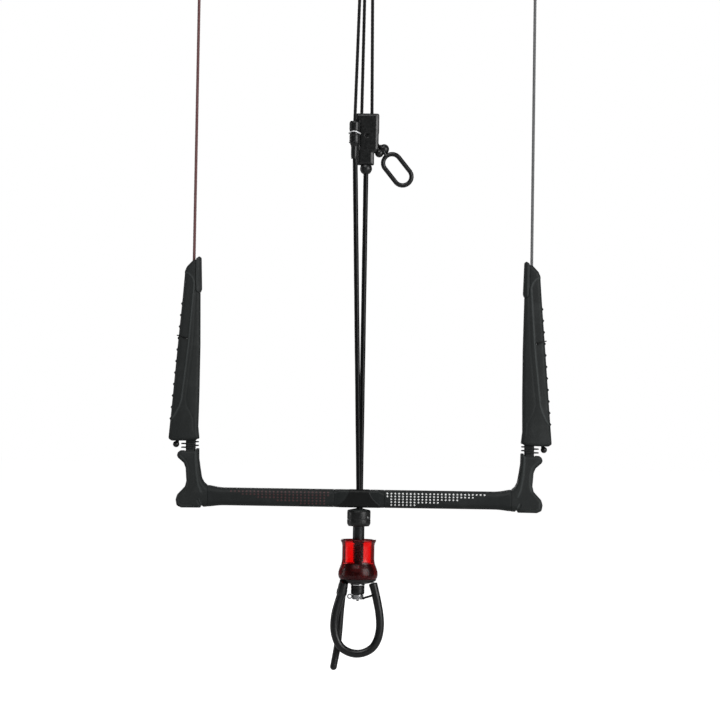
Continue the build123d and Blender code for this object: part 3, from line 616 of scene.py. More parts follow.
def rounded_rectangle(half_y, half_z, corner, lift=0, per_corner=14):
    """(y, z) points round a rectangle with rounded corners."""
    out = []
    for quarter in range(4):
        cy = (half_y - corner) * (1 if quarter in (0, 3) else -1)
        cz = (half_z - corner) * (1 if quarter in (0, 1) else -1)
        for t in np.linspace(0, math.pi / 2, per_corner):
            a = quarter * math.pi / 2 + t
            out.append((cy + corner * math.cos(a), cz + corner * math.sin(a) + lift))
    return out


def grip_section(x):
    """Half width, half height, corner and lift of the grip at a distance along the bar."""
    flare = float(ease((x - FLARE_X) / (SEAM_X - FLARE_X)))
    steep = flare**2.6
    return GRIP_HALF_Y + 0.7 * flare, GRIP_HALF_Z + 2.5 * steep, GRIP_CORNER + flare, 0.5 * steep


def grip_mesh():
    stations = [HUB_X + 0.15, HUB_X + 0.35, HUB_X + 0.8, *np.arange(HUB_X + 2, SEAM_X - 1.2, 2)]
    stations += [SEAM_X - 0.9, SEAM_X - 0.35, SEAM_X - 0.1]
    rings = []
    for x in stations:
        half_y, half_z, corner, lift = grip_section(x)
        edge = min(x - HUB_X, SEAM_X - x)
        tuck = 0.3 * max(0, 1 - edge / 0.9) ** 2
        section = rounded_rectangle(half_y - tuck, half_z - tuck, corner - tuck * 0.5, lift)
        rings.append([(x, y, z) for y, z in section])
    return skin_rings(rings)


DOT_FIRST_X = 39.2
DOT_PITCH_X = 5.38
DOT_TOP_Z = 7.9
DOT_PITCH_Z = 3.93
DOT_R = 1.2
RED_DOT_R = 1.4
RED_DOT_SHIFT = 4
DOT_ROWS = [(0, 26), (0, 23), (1, 19), (1, 14), (1, 8)]
DOT_RINGS = ((1, -0.15), (1, 0.07), (0.82, 0.16))


def dots_mesh(radius):
    """Low printed pads in five shortening rows, wrapped on the grip's front."""
    points, faces = [], []
    around = 16
    for row, (first, count) in enumerate(DOT_ROWS):
        z = DOT_TOP_Z - row * DOT_PITCH_Z
        for column in range(first, count):
            x = DOT_FIRST_X + column * DOT_PITCH_X
            half_y, half_z, corner, lift = grip_section(x)
            base = len(points)
            for reach, rise in DOT_RINGS:
                for a in circle(around):
                    px, pz = x + radius * reach * math.cos(a), z + radius * reach * math.sin(a)
                    into = max(0, abs(pz - lift) - (half_z - corner))
                    y = half_y - corner + math.sqrt(max(corner**2 - into**2, 0))
                    points.append((px, -y - rise, pz))
            for k in range(2):
                for j in range(around):
                    a, b = base + k * around + j, base + k * around + (j + 1) % around
                    faces.append((a, b, b + around, a + around))
            faces.append(tuple(range(base + 2 * around, base + 3 * around)))
    return np.array(points), faces


PANEL_TOP = 13.8
PANEL_FOOT = 31
MOUTH_HALF_Y = 9.6
POCKET_R = 15.2


def panel_edge(wide, z):
    """How far a point lies inside the hub's panel, which widens downwards in a curve."""
    curve = np.clip((10 - z) / 21, 0, 1.1) ** 1.7
    return PANEL_TOP + (PANEL_FOOT - PANEL_TOP) * curve - wide


def hub_field(x, y, z):
    """Moulded hub: raised panel with curved sides front and back, lipped mouths, inner pocket."""
    wide = np.abs(x)
    blend = ease((HUB_X - wide) / 9)
    half_y = GRIP_HALF_Y + 0.55 * blend
    corner = GRIP_CORNER - 3.4 * blend
    side_y, side_z = np.abs(y) - half_y + corner, np.abs(z) - GRIP_HALF_Z + corner
    bar = np.minimum(np.maximum(side_y, side_z), 0) - corner
    bar = bar + np.hypot(np.maximum(side_y, 0), np.maximum(side_z, 0))
    edge = panel_edge(wide, z)
    on_face = ease((np.abs(y) - 9) / 4)
    bar = bar - 0.35 * ease(edge / 1.6 + 0.5) * on_face
    crease = np.where(x * y > 0, 0.3, 0.1)
    bar = bar + crease * np.exp(-(((edge + 1.6) / 1.5) ** 2)) * on_face
    bar = rounded_and(bar, wide - HUB_X, 0.25)
    mouth_x = 13.2 + 1.6 * ease((np.abs(z) - 8) / 5)
    bar = carved(bar, (np.maximum(wide - mouth_x, np.abs(y) - MOUTH_HALF_Y), 1.3))
    pocket = all_of(bore(x, z, POCKET_R), np.abs(y) - 11.2, np.abs(z) - 9.9)
    screw = np.maximum(bore(wide - HUB_SCREW_X, z, SCREW_HOLE_R), 12.6 - y)
    return carved(np.maximum(bar, -pocket), (screw, 0.3))


def build_bar():
    put_pair("grip_sleeve_{}", grip_mesh(), GRIP, "bar", "grip_rubber", "grip_{}")
    put("grip_dots_right", dots_mesh(DOT_R), WHITE_DOT, "bar", "grip_rubber")
    points, faces = dots_mesh(RED_DOT_R)
    shifted = mirror_x(points + (RED_DOT_SHIFT, 0, 0), faces)
    put("grip_dots_left", shifted, RED_DOT, "bar", "grip_rubber")
    for name, way in (("front", -1), ("rear", 1)):
        shell = half_shell(hub_field, way, 0, (-HUB_X, -17, -14), (HUB_X, 17, 14), 0.5, 0.04, 0.25)
        panel = ease(panel_edge(np.abs(shell[0][:, 0]), shell[0][:, 2]) / 2 + 0.5)
        put(f"hub_cover_{name}", shell, HUB, "bar", "hub_plastic", f"hub_shell_{name}", marks=panel)


# Bar ends: foot, notch, waist and horn ------------

END_HALF_Y = 15.2
END_OUTLINE = fillet([
    (200, -13.9, 0), (208, -14.2, 0.8), (209.5, -14.5, 0.8), (216.4, -14.9, 1.2),
    (218, -13, 0.9), (220.3, -16, 1.6), (247, -16.2, 4), (253.2, -13.2, 3),
    (254.7, -5.4, 3), (252.9, 1.6, 2.4), (242, 13.4, 5), (240.2, 20.8, 5),
    (241.6, 39, 5), (244.4, 45.8, 5), (252.6, 53, 2.2), (254, 56.2, 1.8),
    (252.7, 60.4, 2.4), (249.5, 62.9, 2), (244.6, 63.2, 0.5), (243, 63.2, 0.5),
    (229.2, 63.2, 0.8), (227.9, 66.2, 0.9), (223.2, 66.2, 0.9), (223, 52, 12),
    (221, 38.6, 12), (218.8, 25.6, 9), (215.6, 19.6, 5), (210.6, 15.2, 6), (200, 12.8, 0),
])
ARM_INNER_EDGE = [(222, 66), (221.4, 52), (219.4, 38.6), (217, 25.6), (212, 18.4)]
ARM_RIDGE = [(228.6, 66), (228.2, 52), (226.8, 34), (223.8, 16), (220, 6)]
ARM_FACET = [(238.6, 14), (236.8, 24), (237.4, 38), (240.6, 48), (249, 56.5)]
FOOT_BEVEL = [(252, 0.5), (250.6, -5), (250.4, -9.5), (246, -12.6), (232, -13)]
NOTCH_CREASE = [(219.4, -14), (222.6, -8.4), (224, -5.4)]
NOTCH_EDGE = [(218, -13), (220.6, -8), (222.4, -4)]
# Painted highlights: paler lines along the arm's ridge and facet, the foot's bevel and the notch's edge, as
# (polyline, width, strength).
END_PAINTED_HIGHLIGHTS = ((ARM_RIDGE, 1.3, 0.8), (ARM_FACET, 1.1, 0.45), (FOOT_BEVEL, 1, 0.45), (NOTCH_EDGE, 0.8, 0.9))


def bar_end_field(x, y, z):
    deep = np.abs(y)
    half = END_HALF_Y - 3.9 * ease((z - 8) / 50) + 0.6 * ease((x - 236) / 14) * ease((6 - z) / 12)
    soft = 9.2 - 4.6 * ease((x - SEAM_X) / 14)
    body = rounded_and(outline_distance(END_OUTLINE, x, z), deep - half, soft)
    inner = polyline_distance(ARM_INNER_EDGE, x, z)
    body = body + 1.5 * ease((5 - inner) / 5) * (deep > 4)
    body = body + 0.9 * ridge(NOTCH_CREASE, 1.2, x, z)
    body = body - 0.4 * ridge(ARM_RIDGE, 1.6, x, z)
    body = body + 0.5 * ridge(ARM_FACET, 1.3, x, z)
    body = body + 0.45 * ridge(FOOT_BEVEL, 1.1, x, z)
    body = carved(body, (all_of(np.abs(x - NECK_X) - 8.2, deep - 9.4, 61.9 - z), 0.3))
    body = np.maximum(body, -np.maximum(bore(x - NECK_X, y, 2.1), 20 - z))
    screw = np.maximum(bore(x - END_SCREW_X, z, SCREW_HOLE_R), 12 - y)
    anchor = np.maximum(bore(x - NECK_X, y, 4.7), z + 0.5)
    return carved(body, (screw, 0.3), (anchor, 0.8), (x - SEAM_X - 0.05, 0.35))


def build_bar_ends():
    end = mesh_field((210, -16.5, -17), (256, 16.5, 67), 0.5, bar_end_field)
    # Painted highlights along the ridges, facets and bevels.
    painted_highlights = rub_along(END_PAINTED_HIGHLIGHTS, end[0])
    put_pair("bar_end_moulding_{}", end, RUBBER, "bar", "end_rubber", "bar_end_{}", marks=painted_highlights)


NECK_FOOT = 62
NECK_TOP = 78.4
FIN_HALF = 1.1
INNER_FINS = (75.3, 70.1)
OUTER_FINS = (72.5, 67.3)


def fin(z, centres, reach):
    """How far a row of round-edged fins stands out at height z."""
    return max(reach * math.sqrt(max(0, 1 - (abs(z - c) / FIN_HALF) ** 8)) for c in centres)


def neck_mesh():
    rings = []
    for z in np.arange(NECK_FOOT, NECK_TOP + 0.01, 0.2):
        foot = sum(1.6 * max(0, 1 - edge / 1.6) ** 2 for edge in (z - NECK_FOOT, NECK_TOP - z))
        left = 228.4 - fin(z, INNER_FINS, 4.3) - foot
        right = 241.9 + fin(z, OUTER_FINS, 6.5) + foot
        half_y = 7.4 + 0.9 * fin(z, INNER_FINS + OUTER_FINS, 1) + foot * 0.5
        section = rounded_rectangle(half_y, (right - left) / 2, 3)
        rings.append([((left + right) / 2 + across, y, z) for y, across in section])
    return skin_rings(rings)


def build_necks():
    neck = neck_mesh()
    for side, x, shape in (("right", NECK_X, neck), ("left", -NECK_X, mirror_x(*neck))):
        put_blend(f"neck_{side}", shape, NECK, f"neck_bellows_{side}")


# Floats ------------

FLOAT_OUTLINE = fillet([
    (223.4, 79.8, 0.8), (227.2, 78.6, 1), (228.6, 77.4, 1), (242, 76.6, 1.5), (262, 76.2, 3),
    (266.4, 79.2, 3.2), (263.4, 113, 60), (255.4, 209, 90), (249.6, 276, 60),
    (246.8, 312.8, 2.2), (244.3, 318.6, 3), (236.4, 327, 1), (230, 329, 1),
    (226, 329, 1), (225, 284, 2), (224, 209, 60), (224.4, 140, 60), (225.2, 96, 14),
])
FLOAT_EDGE = [(265.9, 80.2), (263.4, 113), (255.4, 209), (249.6, 276), (246.6, 316)]
OUTER_CREASE = [
    (246.8, 310.5), (241, 308.2), (236.8, 303.4), (234.2, 296), (235.2, 281),
    (240.6, 210), (249, 134), (252, 124), (258, 112), (261, 108),
]
INNER_CREASE = [(231.2, 282), (234.6, 210), (243, 134), (240.6, 124.5), (232.4, 108), (231.2, 92)]
FOOT_LIP = [(250, 79.5), (264, 83)]
# Painted highlights: paler lines along the float's creases, strongest along the outer one.
FLOAT_PAINTED_HIGHLIGHTS = ((OUTER_CREASE, 1.1, 1), (INNER_CREASE, 1, 0.12))
NUB_HEIGHTS = np.arange(107, 270, 16)
LINE_CHANNEL_R = 2.2
CORD_HOLE_X = 243
CORD_HOLE_Z = 219
PULL_BALL = np.array((255.6, 0, 71.5))
PULL_BALL_R = 4.45
PULL_BALL_WAY = np.array((-0.43, 0, 0.903))


def line_channel(x, y, z):
    """The hole round the steering line, which leans inwards as it rises."""
    centre = NECK_X + (LINE_TOP_X - NECK_X) * (z - LINE_FOOT_Z) / (LINE_TOP_Z - LINE_FOOT_Z)
    return bore(x - centre, y, LINE_CHANNEL_R)


def cap_outline(spread=0):
    """The cap's silhouette, optionally spread outwards over the float."""
    return fillet([
        (224.2, 330.9, 1.6), (227.2, 333.1, 1.4), (231.6 + spread, 329.8, 1.4), (231.9 + spread, 300, 20),
        (230.8 + spread, 285.5, 2.5), (226.6, 281.4, 2), (224.4, 283, 1), (222.9, 287.2, 1.4),
    ])


def float_half(z):
    """Half the float's depth at a height."""
    return 13 - 4.5 * (z - 77) / 257


def along_line(line, z):
    """A rising polyline's distance from the centre at a height."""
    return np.interp(z, [point[1] for point in line], [point[0] for point in line])


def float_field(x, y, z):
    crown = 1.2 * ease((x - 226) / 12) * ease((262 - x) / 14)
    body = rounded_and(outline_distance(FLOAT_OUTLINE, x, z), np.abs(y) - float_half(z) + 1 - crown, 5.2)
    inner = polyline_distance(INNER_CREASE, x, z)
    body = body - 0.45 * ridge(OUTER_CREASE, 1.2, x, z) + 0.3 * np.exp(-(((inner - 0.3) / 1) ** 2))
    step = along_line(OUTER_CREASE[::-1], z)
    body = body + 0.7 * ease((x - step) / 1.4) * ease((314 - z) / 6) * (np.abs(y) > 3)
    body = body + 0.25 * ridge(FOOT_LIP, 1.2, x, z)
    edge = along_line(FLOAT_EDGE, z)
    for height in NUB_HEIGHTS:
        nub = np.sqrt(((x - edge) / 0.9) ** 2 + (y / 2.6) ** 2 + (z - height) ** 2) - 1.7
        body = soft_or(body, nub, 0.7)
    hole = bore(x - CORD_HOLE_X, z - CORD_HOLE_Z, 1.15)
    pull = rod_distance(x, y, z, PULL_BALL, (272.8, 0, 35.4), 0.1)
    back = rod_distance(x, y, z, PULL_BALL, (238.4, 0, 107.6), 1.25)
    cap = np.maximum(outline_distance(cap_outline(), x, z) - 0.06, 280 - z)
    return carved(body, (line_channel(x, y, z), 0.7), (hole, 0.5), (np.minimum(pull, back), 0.5), (cap, 0.3))


def cap_field(x, y, z):
    half = float_half(z) + 0.7 - 2.6 * ease((229 - x) / 5)
    body = rounded_and(outline_distance(cap_outline(8), x, z), np.abs(y) - half, 2.6)
    body = rounded_and(body, outline_distance(cap_outline(), x, z), 0.3)
    return carved(body, (line_channel(x, y, z), 0.5))


def keeper_cord_points():
    """A cord out of the face hole, round the float's outer edge and back in behind."""
    reach = float_half(CORD_HOLE_Z) + 0.1
    front = [
        (CORD_HOLE_X, -6, CORD_HOLE_Z), (243.2, -reach - 0.1, 219.2), (247, -reach - 0.5, 220.4),
        (251.6, -reach + 1.6, 221.6), (255, -6, 222.4),
    ]
    return [*front, (256.4, 0, 222.8), *((x, -y, z) for x, y, z in front[::-1])]


def build_floats():
    low = FLOAT_LOW - Vector((1, 1, 1))
    foam = mesh_field(low, (268.5, FLOAT_HIGH.y + 1, CAP_TOP), 0.7, float_field)
    # Painted highlights along the creases.
    painted_highlights = rub_along(FLOAT_PAINTED_HIGHLIGHTS, foam[0])
    put_pair("float_foam_{}", foam, RUBBER, "float_{}", "float_foam", "float_{}", marks=painted_highlights)
    cap = mesh_field((221.5, -12, 279), (234, 12, 335.5), 0.5, cap_field)
    # A paler band down the cap's outer part.
    strip = 0.55 * ease((cap[0][:, 0] - 227.6) / 1.2) * ease((232.2 - cap[0][:, 0]) / 0.8)
    put_pair("float_tip_{}", cap, RUBBER, "float_{}", "float_foam", "float_cap_{}", marks=strip)
    keeper = rope(keeper_cord_points(), 0.8, 14, depth=0.12, pitch=4.2)
    put_pair("line_keeper_{}", keeper, CORD, "float_{}", "black_cord", "line_keeper_cord_{}")


def eye_path(x, y, low, height, width, step=0.6):
    """A tall closed loop in the XZ plane."""
    radius = width / 2
    straight = height / 2 - radius
    points = []
    for a in circle(80):
        lift = straight if math.sin(a) >= 0 else -straight
        points.append((x + radius * math.cos(a), y, low + height / 2 + lift + radius * math.sin(a)))
    return path_through(points, step, closed=True)


def build_steering_lines():
    ends = [(NECK_X, 0, LINE_FOOT_Z), (LINE_TOP_X, 0, LINE_TOP_Z)]
    line = rope(ends, STEERING_R, 18, 0.55, 0.13, 2.4, cover=1.9)
    swell = lambda s: 2 + 0.45 * float(ease(s / 9))
    ends = [(LINE_TOP_X, 0, LINE_TOP_Z - 9), (LINE_TOP_X, 0, LINE_TOP_Z + 13)]
    splice = rope(ends, swell, 20, 0.5, 0.25, 4.2, cover=2)
    eye = sweep(eye_path(LINE_TOP_X, 0, LINE_TOP_Z + 11, 22, 7.5), 1.2, 16, True, braid(1.2, 0.2))
    for side, cord, slot in (("right", GREY_LINE, "grey_line"), ("left", RED_LINE, "red_line")):
        nodes = [f"steering_line_{side}"]
        for part, shape, stands_for in (("cord", line, nodes), ("splice", splice, []), ("loop", eye, [])):
            shape = shape if side == "right" else mirror_x(*shape)
            put(f"steering_{part}_{side}", shape, cord, f"float_{side}", slot, *stands_for, crease=WOVEN)


def build_pull_balls():
    """Ball pulls under the floats, with a collar and the stub of their elastic cord."""
    profile = [(0.02, -PULL_BALL_R)]
    for angle in np.linspace(-80, 44, 36):
        a = math.radians(angle)
        seam = 0.09 * math.exp(-((angle / 4) ** 2))
        profile.append(((PULL_BALL_R + seam) * math.cos(a), PULL_BALL_R * math.sin(a)))
    profile += [(2.3, 4.4), (1.7, 5.6), (1.3, 6.3), (1, 6.5)]
    ball = lathe(profile, PULL_BALL, PULL_BALL_WAY, 48)
    put_pair("pull_ball_{}", ball, PLASTIC, "keeper_{}", "black_plastic", "keeper_ball_{}")
    ends = [PULL_BALL + PULL_BALL_WAY * 3, PULL_BALL + PULL_BALL_WAY * 37.5]
    cord = rope(ends, 0.9, 14, pitch=4.2)
    put_pair("pull_cord_{}", cord, CORD, "keeper_{}", "black_cord")


# Centre line and swivel collar ------------

CENTRE_LINES = (
    ("depower_rope", "depower_line", (1.80, 3.62, -23), (2.11, 5.25, 474)),
    ("safety_sheath", "flag_line_sheath", (0.22, -3.60, -23), (-13.58, -5.76, 487)),
)
CENTRE_LINE_R = 3.5
COLLAR_R = 16.15
SCREW_ANGLE = math.radians(-37)


def build_centre_lines():
    def waves(s, turn):
        """Faint long waves, so that a coated line isn't a perfect cylinder."""
        return 0.04 * np.sin(s / 17 + np.cos(turn)) + 0.02 * np.sin(s / 5.3 + 2 * turn)

    for name, node, *ends in CENTRE_LINES:
        shape = sweep(path_through(ends, 2), CENTRE_LINE_R, 40, relief=waves)
        put(name, shape, SHEATH, "centre_line", "sheathed_line", node)


def build_collar():
    dome = fillet([(0.02, -13.05, 0), (2, -13.1, 3), (14.9, -15.85, 1), (COLLAR_R, -17.1, 0.9),
                   (COLLAR_R, -17.55, 0.1), (0.02, -17.55, 0)], closed=False)
    put("bumper_dome", lathe(dome), RUBBER, "centre_line", "bumper_rubber", "bar_bumper")
    wall = fillet([
        (13.1, -38.5, 0.1), (14.2, -38.5, 1.6), (16.3, -35, 3.4), (16.3, -29.4, 0.3), (15.95, -29, 0.2),
        (15.95, -28.5, 0.2), (16.2, -28.1, 0.3), (16.2, -18.2, 0.6), (15.9, -17.65, 0.4), (0.02, -17.65, 0),
    ], closed=False)

    def flutes(turn, height):
        """Shallow finger flutes round the lower half."""
        share = float(ease((-29.5 - height) / 1.5) * ease((height + 37.2) / 1.5))
        return -0.22 * share * np.abs(np.cos(turn * 9)) ** 6

    shell = lathe([*wall, (0.02, -23.7), (13.1, -23.7)], sides=144, closed=True, relief=flutes)
    put("swivel_housing", shell, PLASTIC, "centre_line", "black_plastic", "swivel_collar")
    out = Vector((math.cos(SCREW_ANGLE), math.sin(SCREW_ANGLE), 0))
    screw = [(0.02, -0.5), (1.75, -0.5), (1.75, 0.12), (1.45, 0.3), (1, 0.3), (0.85, -0.15), (0.02, -0.15)]
    shape = lathe(screw, tuple(out * COLLAR_R + Vector((0, 0, -26))), out, 36)
    put("collar_set_screw", shape, STEEL, "centre_line", "steel")
    stem = fillet([
        (1.9, -24.6, 0.2), (11.7, -24.6, 0.5), (11.7, -28, 0.3), (8.05, -28, 0.4), (8.05, -61.4, 0.5),
        (7.5, -62, 0.3), (5.5, -62, 0.2), (5.5, -133.4, 0.2), (4, -133.6, 0.2), (4, -140.5, 0.4),
        (1.9, -140.5, 0.2),
    ])
    put("swivel_shaft", lathe(stem, closed=True), ANODISED, "release_unit", "black_metal", "swivel_stem")


# Quick release ------------

SLEEVE_OUTER = [
    (23.7, -56.9, 0.5), (24.5, -57.5, 0.7), (24.5, -59.2, 1.2), (23, -62, 4), (22.3, -65.5, 6),
    (22.3, -84.5, 8), (23.2, -90.5, 8), (25.6, -96.5, 10), (27.2, -102, 6), (27.4, -106, 4),
    (26.8, -109.6, 3), (25.2, -112, 0.5),
]
SLEEVE_WALL = 2.2
WEB_Z = -89.6
BODY_PROFILE = fillet([
    (0, -91.5, 0), (18.2, -91.5, 1), (20.3, -95, 3), (22.9, -101, 4), (23.2, -108.6, 4),
    (23, -111.9, 0.2), (26, -112.2, 0.4), (25.3, -113.7, 1.5), (21, -116.1, 4), (15.6, -117.7, 4),
    (10.2, -118.7, 1), (0, -118.75, 0), (-12, -105, 0),
])
PIVOT = np.array((-20, 0, -120))
SPRING_COILS = 10.4
SPRING_COIL_R = 6.5
SPRING_WIRE_R = 1
WASHER_RING = [(5.6, -118.85, 0.1), (9.9, -118.85, 0.6), (9.9, -120.9, 0.6), (5.6, -120.9, 0.1)]
NUT = [
    (4.05, -133.7, 0.1), (6.5, -133.7, 0.3), (6.5, -138.5, 0.3), (7.7, -138.9, 0.3), (7.7, -139.9, 0.4),
    (6.6, -140.5, 0.8), (4.05, -140.5, 0.3),
]
BUSH = [
    (5.6, -121.05, 0.1), (8.8, -121.05, 0.5), (9.45, -122, 0.6), (9.45, -125.2, 0.2), (9.15, -125.5, 0.1),
    (9.15, -126.1, 0.1), (9.45, -126.4, 0.2), (9.45, -131.6, 1.2), (8.3, -133.5, 0.8), (5.6, -133.5, 0.1),
]


def build_sleeve():
    outer = fillet(SLEEVE_OUTER, closed=False)
    inner = [(r - SLEEVE_WALL, z) for r, z in reversed(outer)]
    low = [(r, z) for r, z in inner if z < WEB_Z - 2.6]
    high = [(r, z) for r, z in inner if WEB_Z + 0.8 < z < -57.6]
    web = [(20.6, WEB_Z - 1.6), (7.6, WEB_Z - 1.5), (7.6, WEB_Z), (20.2, WEB_Z)]
    shape = lathe(outer + low + web + high, sides=128, closed=True)
    heights = shape[0][:, 2]
    # Painted shade: the rim darker, darkest along its top edge, and the belly darker towards its foot.
    shade = 0.25 * ease((heights + 61.8) / 1.5) + 0.6 * ease((heights + 58.8) / 0.8)
    shade = shade + 0.45 * ease((-106 - heights) / 5)
    put("push_sleeve", shape, RED, "release_sleeve", "red_sleeve", "release_sleeve", marks=shade)


def body_field(x, y, z):
    """Inner body with a domed foot, a latch slot on the right and the loop's seat on the left."""
    radius, deep = np.hypot(x, y), np.abs(y)
    solid = outline_distance(BODY_PROFILE, radius, z)
    slot = all_of(deep - 2.6, 13 - x, z + 102.5)
    bay = all_of(deep - 2.6, np.abs(x - 12.2) - 4, np.abs(z + 102) - 8.5)
    from_pivot = np.hypot(x - PIVOT[0], z - PIVOT[2])
    seat = np.maximum(from_pivot - 7.85, deep - 30)
    swing = all_of(x + 22, np.abs(z - PIVOT[2]) - 7.95, deep - 8.4)
    solid = carved(solid, (np.minimum(slot, bay), 0.35), (np.minimum(seat, swing), 0.4))
    tongue = all_of(deep - 2.15, bore(x + 19, z + 116, 6.4), -124 - z)
    solid = np.minimum(solid, rounded_and(tongue, -124 - z, 0.4))
    latch_pin = np.maximum(bore(x - 11.6, z + 96.6, 1.35), deep - 8.1)
    holes = np.minimum(np.minimum(from_pivot - 2.1, latch_pin), radius - 5.6)
    return np.maximum(solid, -holes)


def build_release():
    body = mesh_field((-27.5, -27, -126), (27, 27, -91), 0.5, body_field)
    put("release_core", body, BODY, "release_unit", "black_plastic", "release_body")
    length = SPRING_TOP - SPRING_FOOT - 1.2
    helix = []
    for t in np.linspace(0, 1, 420):
        a = 2 * math.pi * SPRING_COILS * t
        across, deep = SPRING_COIL_R * math.cos(a), SPRING_COIL_R * math.sin(a)
        helix.append(np.array((across, deep, SPRING_FOOT + 0.6 + length * t)))
    shape = sweep(helix, SPRING_WIRE_R, 12, ends="round")
    put("return_spring", shape, SPRING, "release_unit", "spring_steel", "release_spring")
    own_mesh(bpy.data.objects["return_spring"])
    for name, profile, material, slot, nodes in (
        ("post_washer", WASHER_RING, BRIGHT, "bright_steel", ["post_rings"]),
        ("post_nut", NUT, BRIGHT, "bright_steel", []),
        ("post_sleeve", BUSH, PLASTIC, "black_plastic", ["post_bush"]),
    ):
        put(name, lathe(fillet(profile), closed=True), material, "release_unit", slot, *nodes)


# Chicken loop ------------

LOOP_R = 5.7
TILT = math.radians(10.5)
CUFF_WAY = np.array((-math.sin(TILT), 0, -math.cos(TILT)))
CUFF_PROFILE = fillet([
    (0, -7.1, 0), (3, -6.5, 2), (5.4, -4.7, 3), (6.9, -2, 3), (7.3, 2, 4), (7.35, 7, 4),
    (7.3, 12.8, 0.9), (7, 14.2, 0.3), (6.6, 14.5, 0.2), (6.5, 15.9, 0.5), (5.9, 16.3, 0.2),
    (5.72, 15.6, 0.1), (5.72, 11.4, 0.1), (0, 11.4, 0),
])
RIM = [(3.3, 0, 0.2), (5.2, 0, 0.6), (5.95, 1.1, 0.5), (5.95, 4.6, 0.3), (5.72, 5, 0.1), (3.3, 5, 0.1)]
RIM_WAY = np.array((-0.247, 0, 0.969))
RIM_TOP = np.array((21.2, 0, -118.4)) + RIM_WAY * 0.8
TONGUE = fillet([
    (16.7, -105.1, 0.6), (20, -105.1, 0.6), (20.7, -107, 1.5), (21.9, -116.5, 2),
    (22.6, -121.4, 0.6), (19.4, -121.4, 0.6), (18.3, -116.5, 2),
])


def cuff_field(x, y, z):
    """Cuff with a round head about the hinge, slotted for the body's tongue, and a stepped hem."""
    dx, dz = x - PIVOT[0], z - PIVOT[2]
    ahead = dx * CUFF_WAY[0] + dz * CUFF_WAY[2]
    radius = np.sqrt(np.maximum(dx * dx + y * y + dz * dz - ahead * ahead, 0))
    slot = np.maximum(np.abs(y) - 2.45, ahead - 6.8)
    return carved(outline_distance(CUFF_PROFILE, radius, ahead), (slot, 0.4))


def tongue_field(x, y, z):
    """Flat steel tongue with a hole, standing in the latch slot, on a small round eye."""
    flat = rounded_and(outline_distance(TONGUE, x, z), np.abs(y) - 2.15, 0.35)
    ring = rounded_and(bore(x - 20.4, z + 116.2, 2.6), np.abs(y) - 2.25, 0.5)
    return carved(np.minimum(flat, ring), (bore(x - 18.9, z + 109, 1.15), 0.3))


def build_loop():
    points = [
        PIVOT + CUFF_WAY * 12, (-25.6, 0, -142), (-30.2, 0, -160), (-31.8, 0, -178), (-29.2, 0, -194),
        (-22.6, 0, -206.2), (-12, 0, -213.4), (0, 0, -215.8), (12, 0, -213.4), (22.6, 0, -206.2),
        (29.2, 0, -194), (31.8, 0, -178), (30.6, 0, -160), (27.4, 0, -143), (24.4, 0, -130),
        (21.5, 0, -118.9),
    ]

    def waves(s, turn):
        return 0.05 * np.sin(s / 11 + turn) + 0.03 * np.sin(s / 3.7)

    hose = sweep(path_through(points, 1.2), LOOP_R, 48, relief=waves)
    put("loop_hose", hose, HOSE, "chicken_loop", "loop_plastic", "loop_tube")
    cuff = mesh_field(PIVOT + (-13, -8.5, -19), PIVOT + (8.5, 8.5, 8.5), 0.35, cuff_field)
    put("hinge_cuff", cuff, PLASTIC, "chicken_loop", "end_rubber", "loop_cuff")
    rim = lathe(fillet(RIM), RIM_TOP, -RIM_WAY, 48, closed=True)
    put("loop_end_rim", rim, PLASTIC, "chicken_loop", "end_rubber")
    tongue = mesh_field((15, -3, -123), (24, 3, -103.5), 0.25, tongue_field)
    put("release_tongue", tongue, BRIGHT, "chicken_loop", "bright_steel", "loop_end_eye")


FINGER_Y = 12.5
FINGER_R = 4.95
FINGER_STEP = 0.6
FINGER_TOP = (-20.9, FINGER_Y, -126.4)
KNUCKLE = [
    (1.6, -4.7, 0.2), (4.6, -4.7, 0.6), (5.2, -4.1, 0.6), (5.2, 4.1, 0.6), (4.6, 4.7, 0.6), (1.6, 4.7, 0.2),
]


def build_finger():
    points = [FINGER_TOP, (-21.9, FINGER_Y, -143), (-23.8, FINGER_Y, -167), (-26.9, FINGER_Y, -205),
              (-32, FINGER_Y, -235.4)]
    path = path_through(points, FINGER_STEP)
    length = FINGER_STEP * (len(path) - 1)

    def thickness(s):
        waist = -0.35 * math.exp(-(((s - 30) / 14) ** 2))
        return FINGER_R + waist - 0.15 * float(ease((s - length + 12) / 12))

    def ribs(s, turn):
        tip = float(ease((s - length + 16) / 3) * ease((length - 1.5 - s) / 2))
        return -0.28 * tip * (0.5 + 0.5 * math.cos(2 * math.pi * s / 2.4)) ** 3 + np.zeros_like(turn)

    rod = sweep(path, thickness, 40, relief=ribs, ends="round")
    put("hook_finger", rod, HOSE, "finger", "loop_plastic", "retainer_finger")
    knuckle = lathe(fillet(KNUCKLE), FINGER_TOP, (0, 1, 0), 56, closed=True)
    put("finger_knuckle", knuckle, HOSE, "finger", "loop_plastic")


def knot_shape(centre, radius):
    """An overhand stopper knot: a cord wound round itself as a trefoil."""
    cord_r = radius * 0.42
    points = []
    for t in circle(36):
        ring = 2 + math.cos(3 * t)
        spot = Vector((ring * math.cos(2 * t), ring * math.sin(2 * t), 1.5 * math.sin(3 * t)))
        points.append(tuple(Vector(centre) + spot * (radius - cord_r) / 3))
    return sweep(path_through(points, 0.35, closed=True), cord_r, 14, True, braid(cord_r, 0.16))


def build_leash():
    """A knotted cord end beside the post."""
    points = [(KEEPER_X, -4.6, -134.6), (15, -10, -135.8), (8.4, -16.1, -137.4)]
    cord = rope(points, 1.55, 16, 0.4, 0.2, 4.2, ends="round")
    put("keeper_leash", cord, CORD, "chicken_loop", "black_cord", "keeper_cord")
    put("keeper_knot", knot_shape((8.2, -16.3, -138.1), 2), CORD, "chicken_loop", "black_cord")


